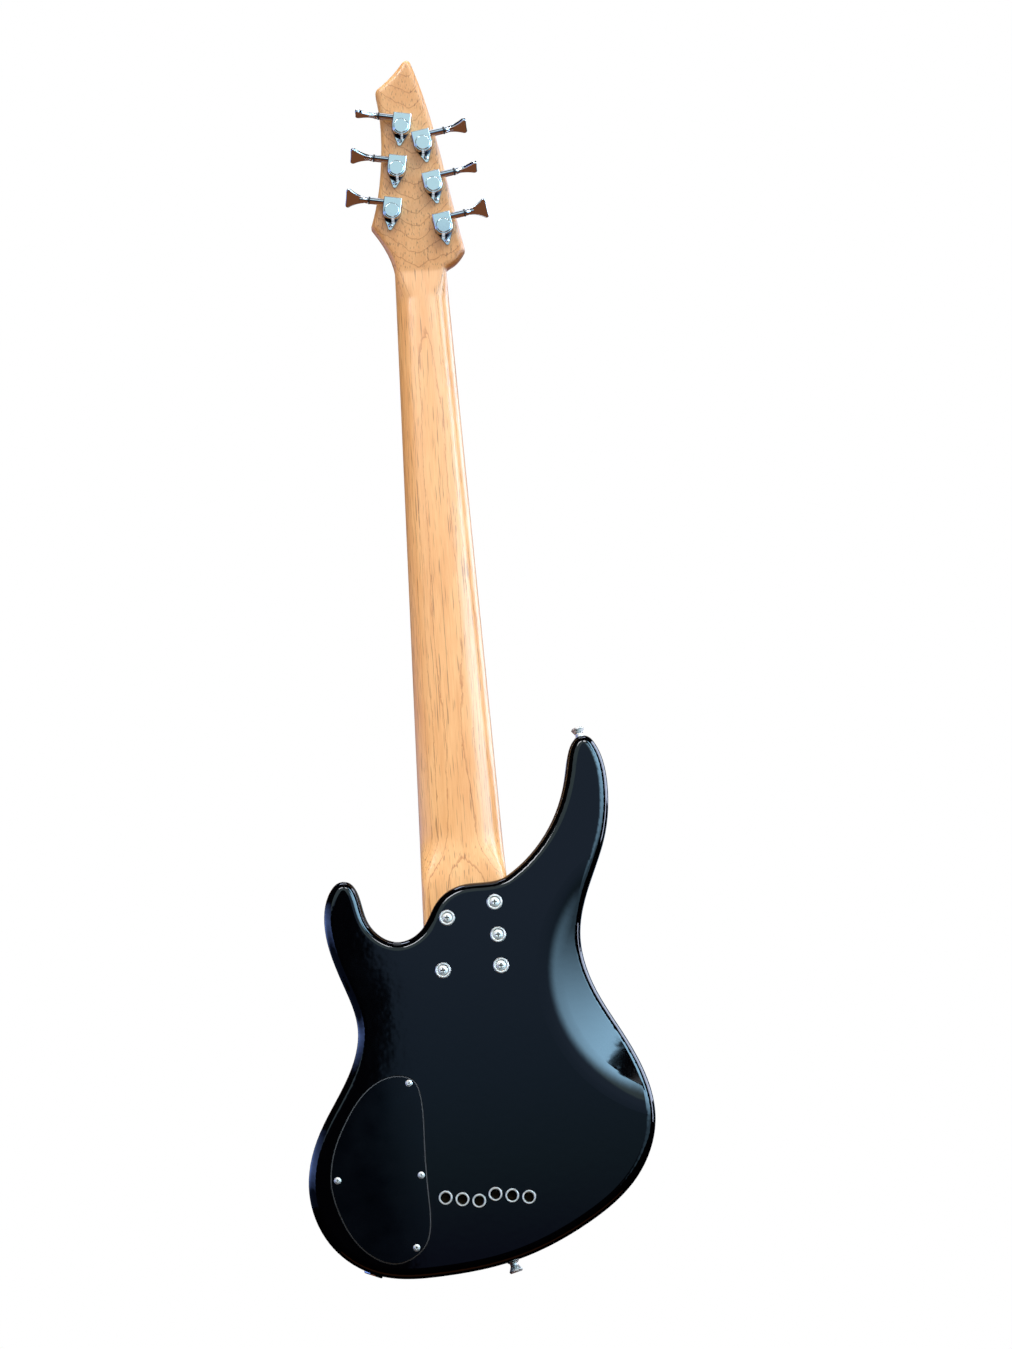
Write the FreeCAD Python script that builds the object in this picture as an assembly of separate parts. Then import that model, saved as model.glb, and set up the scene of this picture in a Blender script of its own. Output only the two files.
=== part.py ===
import FreeCAD, Part
import math
import os

# Electric bass guitar with six strings, seen hanging with its headstock up.
# The nut line on the neck centre is the origin. +Z runs up to the headstock, +Y is
# the back and -X is the bass side. The fingerboard is glued to the plane y = 0.
# All lengths are millimetres and all angles are degrees.

V = FreeCAD.Vector
AXIS_X = V(1, 0, 0)
AXIS_Y = V(0, 1, 0)
AXIS_Z = V(0, 0, 1)
FULL_TURN = 360.0
HALF = 0.5
QUARTER_TURN = 90.0
# Room between pieces that touch on the same body, such as a screw in its hole.
SEAT_GAP = 0.05
# Room between a turning shaft and its bore, on the radius.
RUNNING_GAP = 0.08
# Room between pieces that move past each other.
MOVING_GAP = 0.35
# How far a cutting shape runs past the face that it opens.
OVERRUN = 4.0
# Room under the tip of a screw in its hole.
TIP_ROOM = 1.0

# Scale and strings, the lowest string first.
SCALE_LENGTH = 864.0
FRET_COUNT = 24
FRETS_PER_OCTAVE = 12
STRING_DIAMETERS = [3.3, 2.7, 2.2, 1.65, 1.15, 0.8]
STRING_COUNT = len(STRING_DIAMETERS)
NUT_STRING_SPREAD = 43.0
BRIDGE_STRING_SPREAD = 73.5
STRING_LIFT_AT_NUT = 0.6
STRING_LIFT_AT_BRIDGE = 11.5
NUT_BEND_RADIUS = 14.0
SADDLE_BEND_RADIUS = 5.0
TAIL_BEND_RADIUS = 4.0
TAIL_BEND_LIFT = 1.0
WRAP_SHARE_OF_TURN = 0.8
WRAP_STEP_SHARES = [0.0, 0.25, 0.5, 0.75, 1.0]
BALL_RADIUS = 3.6
BALL_HEIGHT = 5.0

# Fingerboard and frets.
NUT_WIDTH = 51.0
LAST_FRET_WIDTH = 81.0
BOARD_THICK = 6.0
BOARD_RADIUS = 400.0
BOARD_PAST_LAST_FRET = 20.0
FRET_HALF_WIDTH = 1.3
FRET_HEIGHT = 1.2
FRET_TANG_HALF_WIDTH = 0.3
FRET_TANG_DEPTH = 1.8
FRET_END_INSET = 0.4
DOT_RADIUS = 3.2
DOT_DEPTH = 1.6
DOT_FRETS = [3, 5, 7, 9, 12, 15, 17, 19, 21, 24]
OCTAVE_FRETS = [12, 24]
OCTAVE_DOT_OFFSET = 17.0
SIDE_DOT_RADIUS = 1.2
SIDE_DOT_DEPTH = 3.0
SIDE_DOT_OFFSET = 4.0
NUT_THICK = 5.0
NUT_TOP_ABOVE_STRING = 0.3
NUT_END_INSET = 0.4

# Neck: depth of the wood behind the fingerboard and how round its back is.
NECK_DEPTH_AT_NUT = 15.2
NECK_DEPTH_AT_HEEL = 17.0
HEEL_DEPTH = 19.5
SHAFT_ROUND_SHARE = 0.92
HEEL_ROUND_SHARE = 0.22
CORNER_HANDLE_SHARE = 0.62
SHAFT_TOP = 24.0
SHAFT_END_SHARE = 0.648148
HEEL_START_SHARE = 0.708333
HEEL_END_SHARE = 0.8125
SHAFT_END = SHAFT_END_SHARE * SCALE_LENGTH
HEEL_START = HEEL_START_SHARE * SCALE_LENGTH
HEEL_END = HEEL_END_SHARE * SCALE_LENGTH
# The round shaft eases into the square heel in this many short steps.
HEEL_STEPS = 8

# Headstock, drawn on its own plane behind the nut. The first number is the offset to
# the bass side, the second the distance up from the nut, as shares of its sizes.
HEAD_ANGLE = 10.0
HEAD_THICK = 15.0
HEAD_WIDTH = 90.0
HEAD_LENGTH = 218.0
HEAD_SETBACK = 1.0
HEAD_BACK_ROUND = 4.5
HEAD_FACE_ROUND = 1.2
EAR_ROUND = 3.0
TIP_ROUND = 4.5
SHOULDER_ROUND = 8.0
BASS_FLARE_SHARES = [(0.300, 0.006), (0.365, 0.021), (0.440, 0.048)]
BASS_EAR_SHARES = (0.503, 0.085)
BASS_EDGE_SHARES = [(0.382, 0.355), (0.229, 0.693)]
TIP_SHARES = (0.010, 1.0)
CROWN_EDGE_SHARES = [(-0.150, 0.917)]
SHOULDER_SHARES = (-0.372, 0.842)
TREBLE_EDGE_SHARES = [(-0.333, 0.700), (-0.349, 0.523), (-0.405, 0.365)]
TREBLE_EAR_SHARES = (-0.510, 0.213)
TREBLE_FLARE_SHARES = [(-0.400, 0.142), (-0.318, 0.066)]

# Truss rod and its cover.
ROD_RADIUS = 2.5
HEX_SIDES = 6
ROD_NUT_RADIUS = 3.8
ROD_NUT_LENGTH = 9.0
ROD_DEPTH = 7.0
ROD_TOP = 18.0
ROD_CHANNEL_GAP = 0.3
ROD_END_SHARE = 0.689815
ROD_END = ROD_END_SHARE * SCALE_LENGTH
ROD_POCKET_HALF_WIDTH = 5.5
ROD_POCKET_DEPTH = 11.4
ROD_POCKET_TOP = 24.0
ROD_COVER_THICK = 2.0
ROD_COVER_START = 3.0
ROD_COVER_END = 46.0
ROD_COVER_HALF_WIDTH = 11.0
ROD_COVER_TIP_HALF_WIDTH = 6.0
ROD_COVER_CORNER = 3.0
ROD_SCREW_PLACES = [(-8.2, 7.0), (8.2, 7.0), (0.0, 41.0)]

# Body: the outline is drawn in shares of its width and length. The first number is the
# offset to the treble side, the second the way down from the horn tip.
BODY_WIDTH = 313.0
BODY_LENGTH = 477.0
BODY_THICK = 40.0
BODY_FRONT = 3.5
BODY_BACK = BODY_FRONT + BODY_THICK
HEEL_EDGE_SCALE_SHARE = 0.701389
HEEL_EDGE = HEEL_EDGE_SCALE_SHARE * SCALE_LENGTH
HEEL_EDGE_SHARE = 0.264
BODY_MIDDLE_SHARES = (0.0, 0.6)
BACK_ROUND = 9.0
FRONT_ROUND = 6.0
# The edges are never rounded more than this share of the outline's tightest bend.
ROUND_LIMIT_SHARE = 0.92
OUTLINE_STEPS = 720
# Edges further back than this share of the thickness belong to the back's rim.
RIM_SHARE = 0.333
BODY_OUTLINE_SHARES = [
    (-0.125, 0.264), (-0.198, 0.226), (-0.278, 0.153), (-0.323, 0.063), (-0.344, 0.016),
    (-0.358, 0.005), (-0.379, 0.0), (-0.399, 0.004), (-0.415, 0.017), (-0.442, 0.101),
    (-0.419, 0.205), (-0.361, 0.298), (-0.326, 0.390), (-0.355, 0.484), (-0.428, 0.577),
    (-0.486, 0.671), (-0.495, 0.751), (-0.435, 0.843), (-0.278, 0.925), (-0.070, 0.981),
    (0.144, 1.0), (0.320, 0.990), (0.447, 0.931), (0.502, 0.822), (0.457, 0.717),
    (0.374, 0.625), (0.337, 0.541), (0.374, 0.447), (0.415, 0.346), (0.391, 0.269),
    (0.375, 0.258), (0.355, 0.254), (0.334, 0.258), (0.319, 0.270), (0.287, 0.338),
    (0.204, 0.377), (0.134, 0.356), (0.086, 0.306), (0.016, 0.277),
]
# Belly cut: a shallow cone hollow in the back, centred outside the bass side.
BELLY_CENTRE_SHARES = (-0.617, 0.470)
BELLY_RADIUS = 122.0
BELLY_SLOPE = 0.33
BELLY_DEPTH = 25.0
BELLY_CREASE_ROUND = 80.0

# Neck bolts in their cup washers: offset to the treble side and rise above the heel's end.
NECK_BOLT_PLACES = [(18.4, 59.6), (-25.7, 71.0), (-26.7, 41.2), (-27.3, 13.0), (25.3, 12.3)]
BOLT_SHANK_RADIUS = 2.4
BOLT_HEAD_RADIUS = 4.6
BOLT_HEAD_HEIGHT = 2.6
BOLT_HEAD_DOME = 1.0
BOLT_DEPTH_IN_NECK = 13.0
CUP_RADIUS = 7.2
CUP_HEIGHT = 1.5
CUP_RIM_ROUND = 0.9
CUP_MOUTH = 1.0
CUP_SLEEVE_RADIUS = 5.6
CUP_SLEEVE_DEPTH = 3.0
CROSS_SLOT_LENGTH = 4.6
CROSS_SLOT_WIDTH = 1.1
CROSS_SLOT_DEPTH = 1.5
# Smaller screws have smaller cross slots.
PLATE_SLOT_SHARE = 0.7
SMALL_SLOT_SHARE = 0.5

# Bridge with its saddles and the ferrules that hold the string ends in the back.
PLATE_THICK = 2.5
PLATE_FRONT_REACH = 18.0
PLATE_REAR_REACH = 43.0
PLATE_SIDE_MARGIN = 13.8
PLATE_CORNER = 4.0
PLATE_WALL_THICK = 3.0
PLATE_WALL_HEIGHT = 11.0
PLATE_SCREW_MARGIN = 3.9
PLATE_SCREW_REACHES = [-12.0, 31.0]
PLATE_SCREW_RADIUS = 1.6
PLATE_SCREW_HEAD_RADIUS = 2.9
PLATE_SCREW_HEAD_HEIGHT = 1.6
PLATE_SCREW_LENGTH = 22.0
SADDLE_HALF_WIDTH = 6.2
SADDLE_FRONT = 11.0
SADDLE_REAR = 9.0
SADDLE_FRONT_DROP = 3.0
SADDLE_REAR_DROP = 6.0
SADDLE_TRAVEL = 5.0
SADDLE_STRING_ROOM = 0.05
SETSCREW_RADIUS = 1.2
SETSCREW_OFFSET = 4.2
SETSCREW_REACH = 8.0
SETSCREW_RECESS = 0.6
INTONATION_OFFSET = 4.0
INTONATION_HEIGHT = 5.0
INTONATION_RADIUS = 1.4
INTONATION_HEAD_RADIUS = 2.6
INTONATION_HEAD_HEIGHT = 2.2
INTONATION_TIP = 2.0
INTONATION_BORE_END = 5.5
FERRULE_REACH = 28.5
FERRULE_STAGGER = 2.4
FERRULE_STAGGER_COUNT = 3
FERRULE_FLANGE_RADIUS = 6.1
FERRULE_FLANGE_HEIGHT = 1.9
FERRULE_RIM = 0.5
FERRULE_TUBE_RADIUS = 5.4
FERRULE_BORE_RADIUS = 4.5
FERRULE_DEPTH = 20.0
FERRULE_BORE_DEPTH = 17.0
STRING_HOLE_RADIUS = 2.7
PLATE_HOLE_RADIUS = 3.2

# Pickups, counted from the neck.
PICKUP_REACH_SHARES = [0.850694, 0.943287]
PICKUP_REACHES = [share * SCALE_LENGTH for share in PICKUP_REACH_SHARES]
PICKUP_NAMES = ["neck_pickup_cover", "bridge_pickup_cover"]
PICKUP_HALF_LENGTH = 53.0
PICKUP_HALF_WIDTH = 19.0
PICKUP_CORNER = 5.0
PICKUP_RISE = 8.5
PICKUP_COVER_HEIGHT = 23.0
PICKUP_WALL = 1.6
PICKUP_ROOM = 0.5
PICKUP_ROUT_DEPTH = 20.5
COIL_HALF_LENGTH = 41.0
COIL_HALF_WIDTH = 7.4
COIL_OFFSET = 8.6
COIL_CORNER = 3.0
COIL_DEPTH = 21.5
MAGNET_HALF_WIDTH = 1.5
MAGNET_WALL = 2.0
PICKUP_SCREW_INSET = 5.0
PICKUP_SCREW_RADIUS = 1.4
PICKUP_SCREW_HEAD_RADIUS = 2.6
PICKUP_SCREW_HEAD_HEIGHT = 1.5
PICKUP_SCREW_BITE = 8.0

# Control cavity and its cover, in shares of the cover's own width and length.
COVER_WIDTH_SHARE = 0.27796
COVER_LENGTH_SHARE = 0.34382
COVER_WIDTH = COVER_WIDTH_SHARE * BODY_WIDTH
COVER_LENGTH = COVER_LENGTH_SHARE * BODY_LENGTH
COVER_CENTRE_SHARES = (0.300, 0.801)
COVER_THICK = 2.2
COVER_GAP = 0.3
COVER_EDGE = 1.0
COVER_LEDGE_WIDTH_SHARE = 0.83
COVER_LEDGE_LENGTH_SHARE = 0.89
COVER_OUTLINE_SHARES = [
    (0.500, -0.030), (0.444, 0.127), (0.304, 0.281), (0.126, 0.409), (-0.098, 0.487),
    (-0.285, 0.498), (-0.424, 0.463), (-0.480, 0.380), (-0.490, 0.143), (-0.498, -0.176),
    (-0.494, -0.323), (-0.445, -0.405), (-0.305, -0.474), (-0.120, -0.501), (0.093, -0.463),
    (0.315, -0.345), (0.455, -0.182),
]
COVER_SCREW_SHARES = [(-0.360, 0.452), (0.425, -0.038), (-0.425, -0.042), (-0.332, -0.420)]
COVER_SCREW_HEAD_RADIUS = 3.1
COVER_SCREW_HEAD_HEIGHT = 0.9
COVER_SCREW_RADIUS = 1.3
COVER_SCREW_LENGTH = 12.0
CAVITY_FLOOR = 12.0

# Controls in the cavity: offset to the treble side and up from the cover's centre, in
# shares of the cover's width and length.
CONTROL_SHARES = [(-0.160, 0.379), (0.105, 0.208), (0.208, -0.012), (0.098, -0.243)]
CONTROL_NAMES = ["knob_volume", "knob_blend", "knob_treble", "knob_bass"]
POT_RADIUS = 8.2
POT_DEPTH = 8.0
BUSHING_RADIUS = 3.6
BUSHING_RISE = 6.0
SHAFT_RADIUS = 3.0
SHAFT_RISE = 15.0
SHAFT_END_ROOM = 2.0
SHAFT_END_DEPTH = 4.0
POT_NUT_RADIUS = 5.6
POT_NUT_HEIGHT = 2.0
KNOB_RADIUS = 9.5
KNOB_RISE = 19.0
KNOB_GAP = 0.8
KNOB_RECESS_RADIUS = 6.4
KNOB_RECESS_RISE = 6.6
KNOB_EDGE_ROUND = 2.0
KNOB_MARK_WIDTH = 1.0
KNOB_MARK_DEPTH = 0.5
KNOB_MARK_LENGTH = 7.0

# Preamp board, battery and leads, also placed in shares from the cover's centre. The
# pickup leads start at an offset to the treble side and down from their pickup's middle.
BOARD_CORNER_SHARES = (-0.344, 0.001)
BOARD_SIDE_SHARES = (0.322, 0.305)
BOARD_SIDES = (BOARD_SIDE_SHARES[0] * COVER_WIDTH, BOARD_SIDE_SHARES[1] * COVER_LENGTH)
CIRCUIT_BOARD_THICK = 1.6
BATTERY_CORNER_SHARES = (-0.385, -0.316)
BATTERY_SIDES = (26.5, 48.5)
BATTERY_THICK = 17.5
LEAD_RADIUS = 1.2
LEAD_HOLE_RADIUS = 2.4
LEAD_BEND = 2.4
PICKUP_LEAD_DEPTH = 22.2
PICKUP_LEAD_STARTS = [(34.0, 10.0), (28.0, 9.0)]
PICKUP_HOLE_STARTS = [(40.0, 12.0), (36.0, 6.0)]
PICKUP_HOLE_END_SHARES = [(-0.160, 0.342), (-0.252, 0.196)]
PICKUP_LEAD_END_SHARES = [(-0.091, 0.269), (-0.206, 0.190)]
JACK_LEAD_DEPTH = 33.0
JACK_LEAD_STEP = 7.0
JACK_LEAD_END_SHARES = (-0.160, 0.037)

# Output jack on the lower edge and the two strap buttons, placed on the outline.
JACK_PLACE_SHARES = (0.333, 0.983)
JACK_FLANGE_RADIUS = 8.5
JACK_FLANGE_HEIGHT = 2.4
JACK_FLANGE_EDGE = 0.8
JACK_BARREL_RADIUS = 5.6
JACK_BARREL_LENGTH = 26.0
JACK_BORE_RADIUS = 3.25
JACK_BORE_DEPTH = 24.0
JACK_SEAT_DEPTH = 1.0
STRAP_HORN_SHARES = (-0.374, 0.0)
STRAP_TAIL_SHARES = (-0.061, 0.983)
STRAP_SEAT_DEPTH = 1.0
STRAP_BASE_RADIUS = 5.2
STRAP_WAIST_RADIUS = 3.6
STRAP_HEAD_RADIUS = 6.2
STRAP_BASE_HEIGHT = 1.6
STRAP_WAIST_HEIGHT = 5.0
STRAP_HEAD_HEIGHT = 9.5
STRAP_RIM_HEIGHT = 11.0
STRAP_EDGE = 1.0
STRAP_SCREW_RADIUS = 1.9
STRAP_SCREW_HEAD_RADIUS = 3.4
STRAP_SCREW_HEAD_HEIGHT = 2.2
STRAP_SCREW_LENGTH = 30.0

# Tuners: places on the headstock plane, offset to the bass side and distance up from
# the nut, the lowest string first. Key angles are how far each key is turned at rest.
TUNER_ROW_TILT = 10.0
BASS_TUNER_FIRST = (25.6, 41.2)
TREBLE_TUNER_FIRST = (-24.3, 59.4)
TUNER_PITCH = 42.6
TUNERS_PER_SIDE = 3
KEY_REST_ANGLES = [20.0, 76.0, 64.0, 89.0, 60.0, 36.0]
TUNER_HALF_WIDTH = 8.8
TUNER_TOP = 13.2
PLATE_LUG_REACH = 17.6
PLATE_LUG_RADIUS = 1.9
PLATE_LUG_ROOT_SHARES = (0.95, 0.3)
TUNER_PLATE_THICK = 1.5
TUNER_SCREW_REACH = 12.9
TUNER_SCREW_RADIUS = 1.1
TUNER_SCREW_HEAD_RADIUS = 2.3
TUNER_SCREW_HEAD_HEIGHT = 1.2
TUNER_SCREW_LENGTH = 10.0
HOUSING_TOP = 10.4
HOUSING_EDGE_ROUND = 0.8
CAP_RADIUS = 7.2
CAP_HEIGHT = 1.0
CAP_EDGE = 0.7
WHEEL_CHAMBER_RADIUS = 6.6
WHEEL_CHAMBER_TOP = 8.8
WORM_CHAMBER_RADIUS = 3.6
WORM_CHAMBER_HALF_LENGTH = 7.4
BARREL_RADIUS = 3.4
BARREL_END = 22.5
WASHER_RADIUS = 3.7
WASHER_THICK = 1.5
# Worm gear: one thread drives a wheel of twenty teeth.
WHEEL_TEETH = 20
WHEEL_PITCH_RADIUS = 5.6
WHEEL_OUTER_RADIUS = 6.15
WHEEL_ROOT_RADIUS = 5.0
WHEEL_TIP_WIDTH = 0.34
WHEEL_ROOT_WIDTH = 0.84
WHEEL_FACE = 3.0
WORM_PITCH_RADIUS = 2.8
WORM_OUTER_RADIUS = 3.2
WORM_ROOT_RADIUS = 2.0
WORM_TIP_WIDTH = 0.34
WORM_BASE_WIDTH = 0.80
WORM_TURNS = 4
WORM_SINK = 0.15
GEAR_HEIGHT = 5.2
GEAR_CENTRES = WHEEL_PITCH_RADIUS + WORM_PITCH_RADIUS
WORM_LEAD = 2 * math.pi * WHEEL_PITCH_RADIUS / WHEEL_TEETH
KEY_SHAFT_RADIUS = 1.9
KEY_SHAFT_BACK = 7.0
KEY_COLLAR_RADIUS = 3.2
KEY_NECK_RADIUS = 2.6
KEY_COLLAR_LENGTH = 1.6
KEY_NECK_LENGTH = 4.6
KEY_PADDLE_START = 3.6
KEY_PADDLE_LENGTH = 19.0
KEY_PADDLE_HALF_ROOT = 3.0
KEY_PADDLE_HALF_WIDTH = 13.4
KEY_PADDLE_THICK = 3.2
KEY_PADDLE_NOTCH = 0.8
KEY_PADDLE_FLARE_SHARE = 0.56
KEY_PADDLE_WAIST_SHARE = 0.5
KEY_PADDLE_CORNER = 2.6
KEY_PADDLE_EDGE = 0.9
POST_RADIUS = 4.8
POST_STEM_RADIUS = 2.8
POST_STEM_TOP = 8.3
POST_SHOULDER_DROP = 0.4
POST_RISE = 17.0
POST_SLOT_WIDTH = 3.6
POST_SLOT_DEPTH = 7.0
TUNER_BUSHING_RADIUS = 6.6
TUNER_BUSHING_LENGTH = 12.0
TUNER_BUSHING_FLANGE_RADIUS = 8.2
TUNER_BUSHING_FLANGE_HEIGHT = 1.3
TUNER_BUSHING_EDGE = 1.0


def body_top():
    """Height of the horn tip, kept so that the heel edge stays at its place."""
    return HEEL_EDGE_SHARE * BODY_LENGTH - HEEL_EDGE


def body_place(shares, y=0.0):
    """Point of the body given in shares of its width and length."""
    return V(shares[0] * BODY_WIDTH, y, body_top() - shares[1] * BODY_LENGTH)


def neck_half_width(z):
    """Half the neck's width at height z."""
    last_fret = fret_distance(FRET_COUNT)
    return (NUT_WIDTH - (LAST_FRET_WIDTH - NUT_WIDTH) * z / last_fret) / 2


def fret_distance(number):
    """Distance of a fret from the nut."""
    return SCALE_LENGTH * (1 - 2 ** (-number / FRETS_PER_OCTAVE))


def arch_drop(x):
    """How much lower the arched fingerboard is at offset x than at its middle."""
    return BOARD_RADIUS - math.sqrt(BOARD_RADIUS ** 2 - x ** 2)


def middle(edge):
    """Point halfway along an edge."""
    return edge.valueAt((edge.FirstParameter + edge.LastParameter) / 2)


def group(shapes):
    """Several solids in one node."""
    return Part.makeCompound(shapes)


def box(low, high):
    """Box between two corners."""
    size = high.sub(low)
    return Part.makeBox(size.x, size.y, size.z, low)


def rod(radius, start, end):
    """Round rod from start to end."""
    way = end.sub(start)
    return Part.makeCylinder(radius, way.Length, start, way)


def polygon_face(points):
    """Flat face with straight edges."""
    return Part.Face(Part.makePolygon(points + [points[0]]))


def curve_face(points):
    """Flat face inside a smooth closed curve."""
    curve = Part.BSplineCurve()
    curve.interpolate(Points=points, PeriodicFlag=True)
    return Part.Face(Part.Wire([curve.toShape()]))


def smooth_edge(points):
    """Smooth open curve through the points."""
    curve = Part.BSplineCurve()
    curve.interpolate(Points=points)
    return curve.toShape()


def lathe(profile, start, axis):
    """Turned solid. The profile lists radius and height along the axis."""
    points = [V(radius, 0, height) for radius, height in profile]
    solid = polygon_face(points).revolve(V(0, 0, 0), AXIS_Z, FULL_TURN)
    solid.Placement = FreeCAD.Placement(start, FreeCAD.Rotation(AXIS_Z, axis))
    return solid


def rounded_box(half_x, half_z, corner, centre, y_low, y_high):
    """Box with four rounded upright edges, standing along Y."""
    shape = box(V(centre.x - half_x, y_low, centre.z - half_z),
                V(centre.x + half_x, y_high, centre.z + half_z))
    upright = [edge for edge in shape.Edges if abs(edge.tangentAt(edge.FirstParameter).y) > HALF]
    return shape.makeFillet(corner, upright)


def rounded_path(points, bends):
    """Wire of straight runs with a tangent arc at each inner corner."""
    edges = []
    last = points[0]
    for before, corner, after, bend in zip(points, points[1:], points[2:], bends):
        to_back = before.sub(corner).normalize()
        to_front = after.sub(corner).normalize()
        half_angle = to_back.getAngle(to_front) / 2
        reach = bend / math.tan(half_angle)
        inward = to_back.add(to_front).normalize()
        centre = corner.add(inward * (bend / math.sin(half_angle)))
        start = corner.add(to_back * reach)
        end = corner.add(to_front * reach)
        edges.append(Part.makeLine(last, start))
        edges.append(Part.Arc(start, centre.sub(inward * bend), end).toShape())
        last = end
    edges.append(Part.makeLine(last, points[-1]))
    return edges


def tube(edges, radius):
    """Round cord along a path of edges."""
    path = Part.Wire(edges)
    first = edges[0]
    start = first.valueAt(first.FirstParameter)
    ring = Part.Wire([Part.makeCircle(radius, start, first.tangentAt(first.FirstParameter))])
    return path.makePipeShell([ring], True, False)


def head_direction():
    """Unit vectors up along the headstock and out of its back."""
    angle = math.radians(HEAD_ANGLE)
    along = V(0, math.sin(angle), math.cos(angle))
    back = V(0, math.cos(angle), -math.sin(angle))
    return along, back


def head_placement(depth=0.0):
    """Frame of the headstock: bass side, up along it, out of its back."""
    along, back = head_direction()
    start = V(0, 0, NUT_THICK + HEAD_SETBACK).add(back * depth)
    side = AXIS_X * -1
    matrix = FreeCAD.Matrix(side.x, along.x, back.x, start.x,
                            side.y, along.y, back.y, start.y,
                            side.z, along.z, back.z, start.z)
    return FreeCAD.Placement(matrix)


def tuner_place(index):
    """Offset to the bass side and distance up the headstock of one tuner."""
    tilt = math.radians(TUNER_ROW_TILT)
    if index < TUNERS_PER_SIDE:
        first = BASS_TUNER_FIRST
        step = index
        side = -1
    else:
        first = TREBLE_TUNER_FIRST
        step = STRING_COUNT - 1 - index
        side = 1
    return (first[0] + side * step * TUNER_PITCH * math.sin(tilt),
            first[1] + step * TUNER_PITCH * math.cos(tilt))


def tuner_placement(index):
    """Frame of one tuner on the headstock's back, and whether it is mirrored."""
    offset, up = tuner_place(index)
    mirrored = index >= TUNERS_PER_SIDE
    turn = -TUNER_ROW_TILT if mirrored else TUNER_ROW_TILT
    local = FreeCAD.Placement(V(offset, up, 0), FreeCAD.Rotation(AXIS_Z, turn))
    return head_placement(HEAD_THICK).multiply(local), mirrored


def on_tuner(shape, index):
    """Put a piece drawn in tuner coordinates on the headstock."""
    placement, mirrored = tuner_placement(index)
    if mirrored:
        shape = shape.mirror(V(0, 0, 0), AXIS_X)
    else:
        shape = shape.copy()
    shape.Placement = placement.multiply(shape.Placement)
    return shape


def head_face():
    """Outline of the headstock on its own plane."""
    def place(shares):
        return V(shares[0] * HEAD_WIDTH, shares[1] * HEAD_LENGTH, 0)
    half = neck_half_width(NUT_THICK)
    bass_root = V(half, 0, 0)
    treble_root = V(-half, 0, 0)
    bass_ear = place(BASS_EAR_SHARES)
    tip = place(TIP_SHARES)
    shoulder = place(SHOULDER_SHARES)
    treble_ear = place(TREBLE_EAR_SHARES)
    edges = [
        smooth_edge([bass_root] + [place(p) for p in BASS_FLARE_SHARES] + [bass_ear]),
        smooth_edge([bass_ear] + [place(p) for p in BASS_EDGE_SHARES] + [tip]),
        smooth_edge([tip] + [place(p) for p in CROWN_EDGE_SHARES] + [shoulder]),
        smooth_edge([shoulder] + [place(p) for p in TREBLE_EDGE_SHARES] + [treble_ear]),
        smooth_edge([treble_ear] + [place(p) for p in TREBLE_FLARE_SHARES] + [treble_root]),
        Part.makeLine(treble_root, bass_root),
    ]
    corners = [(bass_ear, EAR_ROUND), (tip, TIP_ROUND), (shoulder, SHOULDER_ROUND),
               (treble_ear, EAR_ROUND)]
    return Part.Face(Part.Wire(edges)), corners


def make_headstock():
    """Headstock slab with rounded corners and edges."""
    face, corners = head_face()
    slab = face.extrude(AXIS_Z * HEAD_THICK)
    for corner, radius in corners:
        upright = [edge for edge in slab.Edges
                   if middle(edge).sub(corner + AXIS_Z * (HEAD_THICK / 2)).Length < SEAT_GAP]
        slab = slab.makeFillet(radius, upright)
    for height, radius in ((HEAD_THICK, HEAD_BACK_ROUND), (0, HEAD_FACE_ROUND)):
        rim = [edge for edge in slab.Edges
               if abs(middle(edge).z - height) < SEAT_GAP and middle(edge).y > SEAT_GAP]
        slab = slab.makeFillet(radius, rim)
    slab.Placement = head_placement()
    return slab


def neck_section(origin, depth_way, depth, half_width, round_share):
    """Cross-section of the neck: flat front and a back with two round corners."""
    def place(x, share):
        return origin.add(AXIS_X * x).add(depth_way * (depth * share))
    wall = 1 - round_share
    flat = half_width * wall
    edges = [Part.makeLine(place(-half_width, 0), place(-half_width, wall))]
    for side in (-1, 1):
        wall_point = place(side * half_width, wall)
        back_point = place(side * flat, 1)
        corner = place(side * half_width, 1)
        wall_handle = wall_point.add((corner.sub(wall_point)) * CORNER_HANDLE_SHARE)
        back_handle = back_point.add((corner.sub(back_point)) * CORNER_HANDLE_SHARE)
        bend = Part.BezierCurve()
        poles = [wall_point, wall_handle, back_handle, back_point]
        if side > 0:
            edges.append(Part.makeLine(place(-flat, 1), back_point))
            poles.reverse()
        bend.setPoles(poles)
        edges.append(bend.toShape())
    edges.append(Part.makeLine(place(half_width, wall), place(half_width, 0)))
    edges.append(Part.makeLine(place(half_width, 0), place(-half_width, 0)))
    return Part.Wire(edges)


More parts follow.
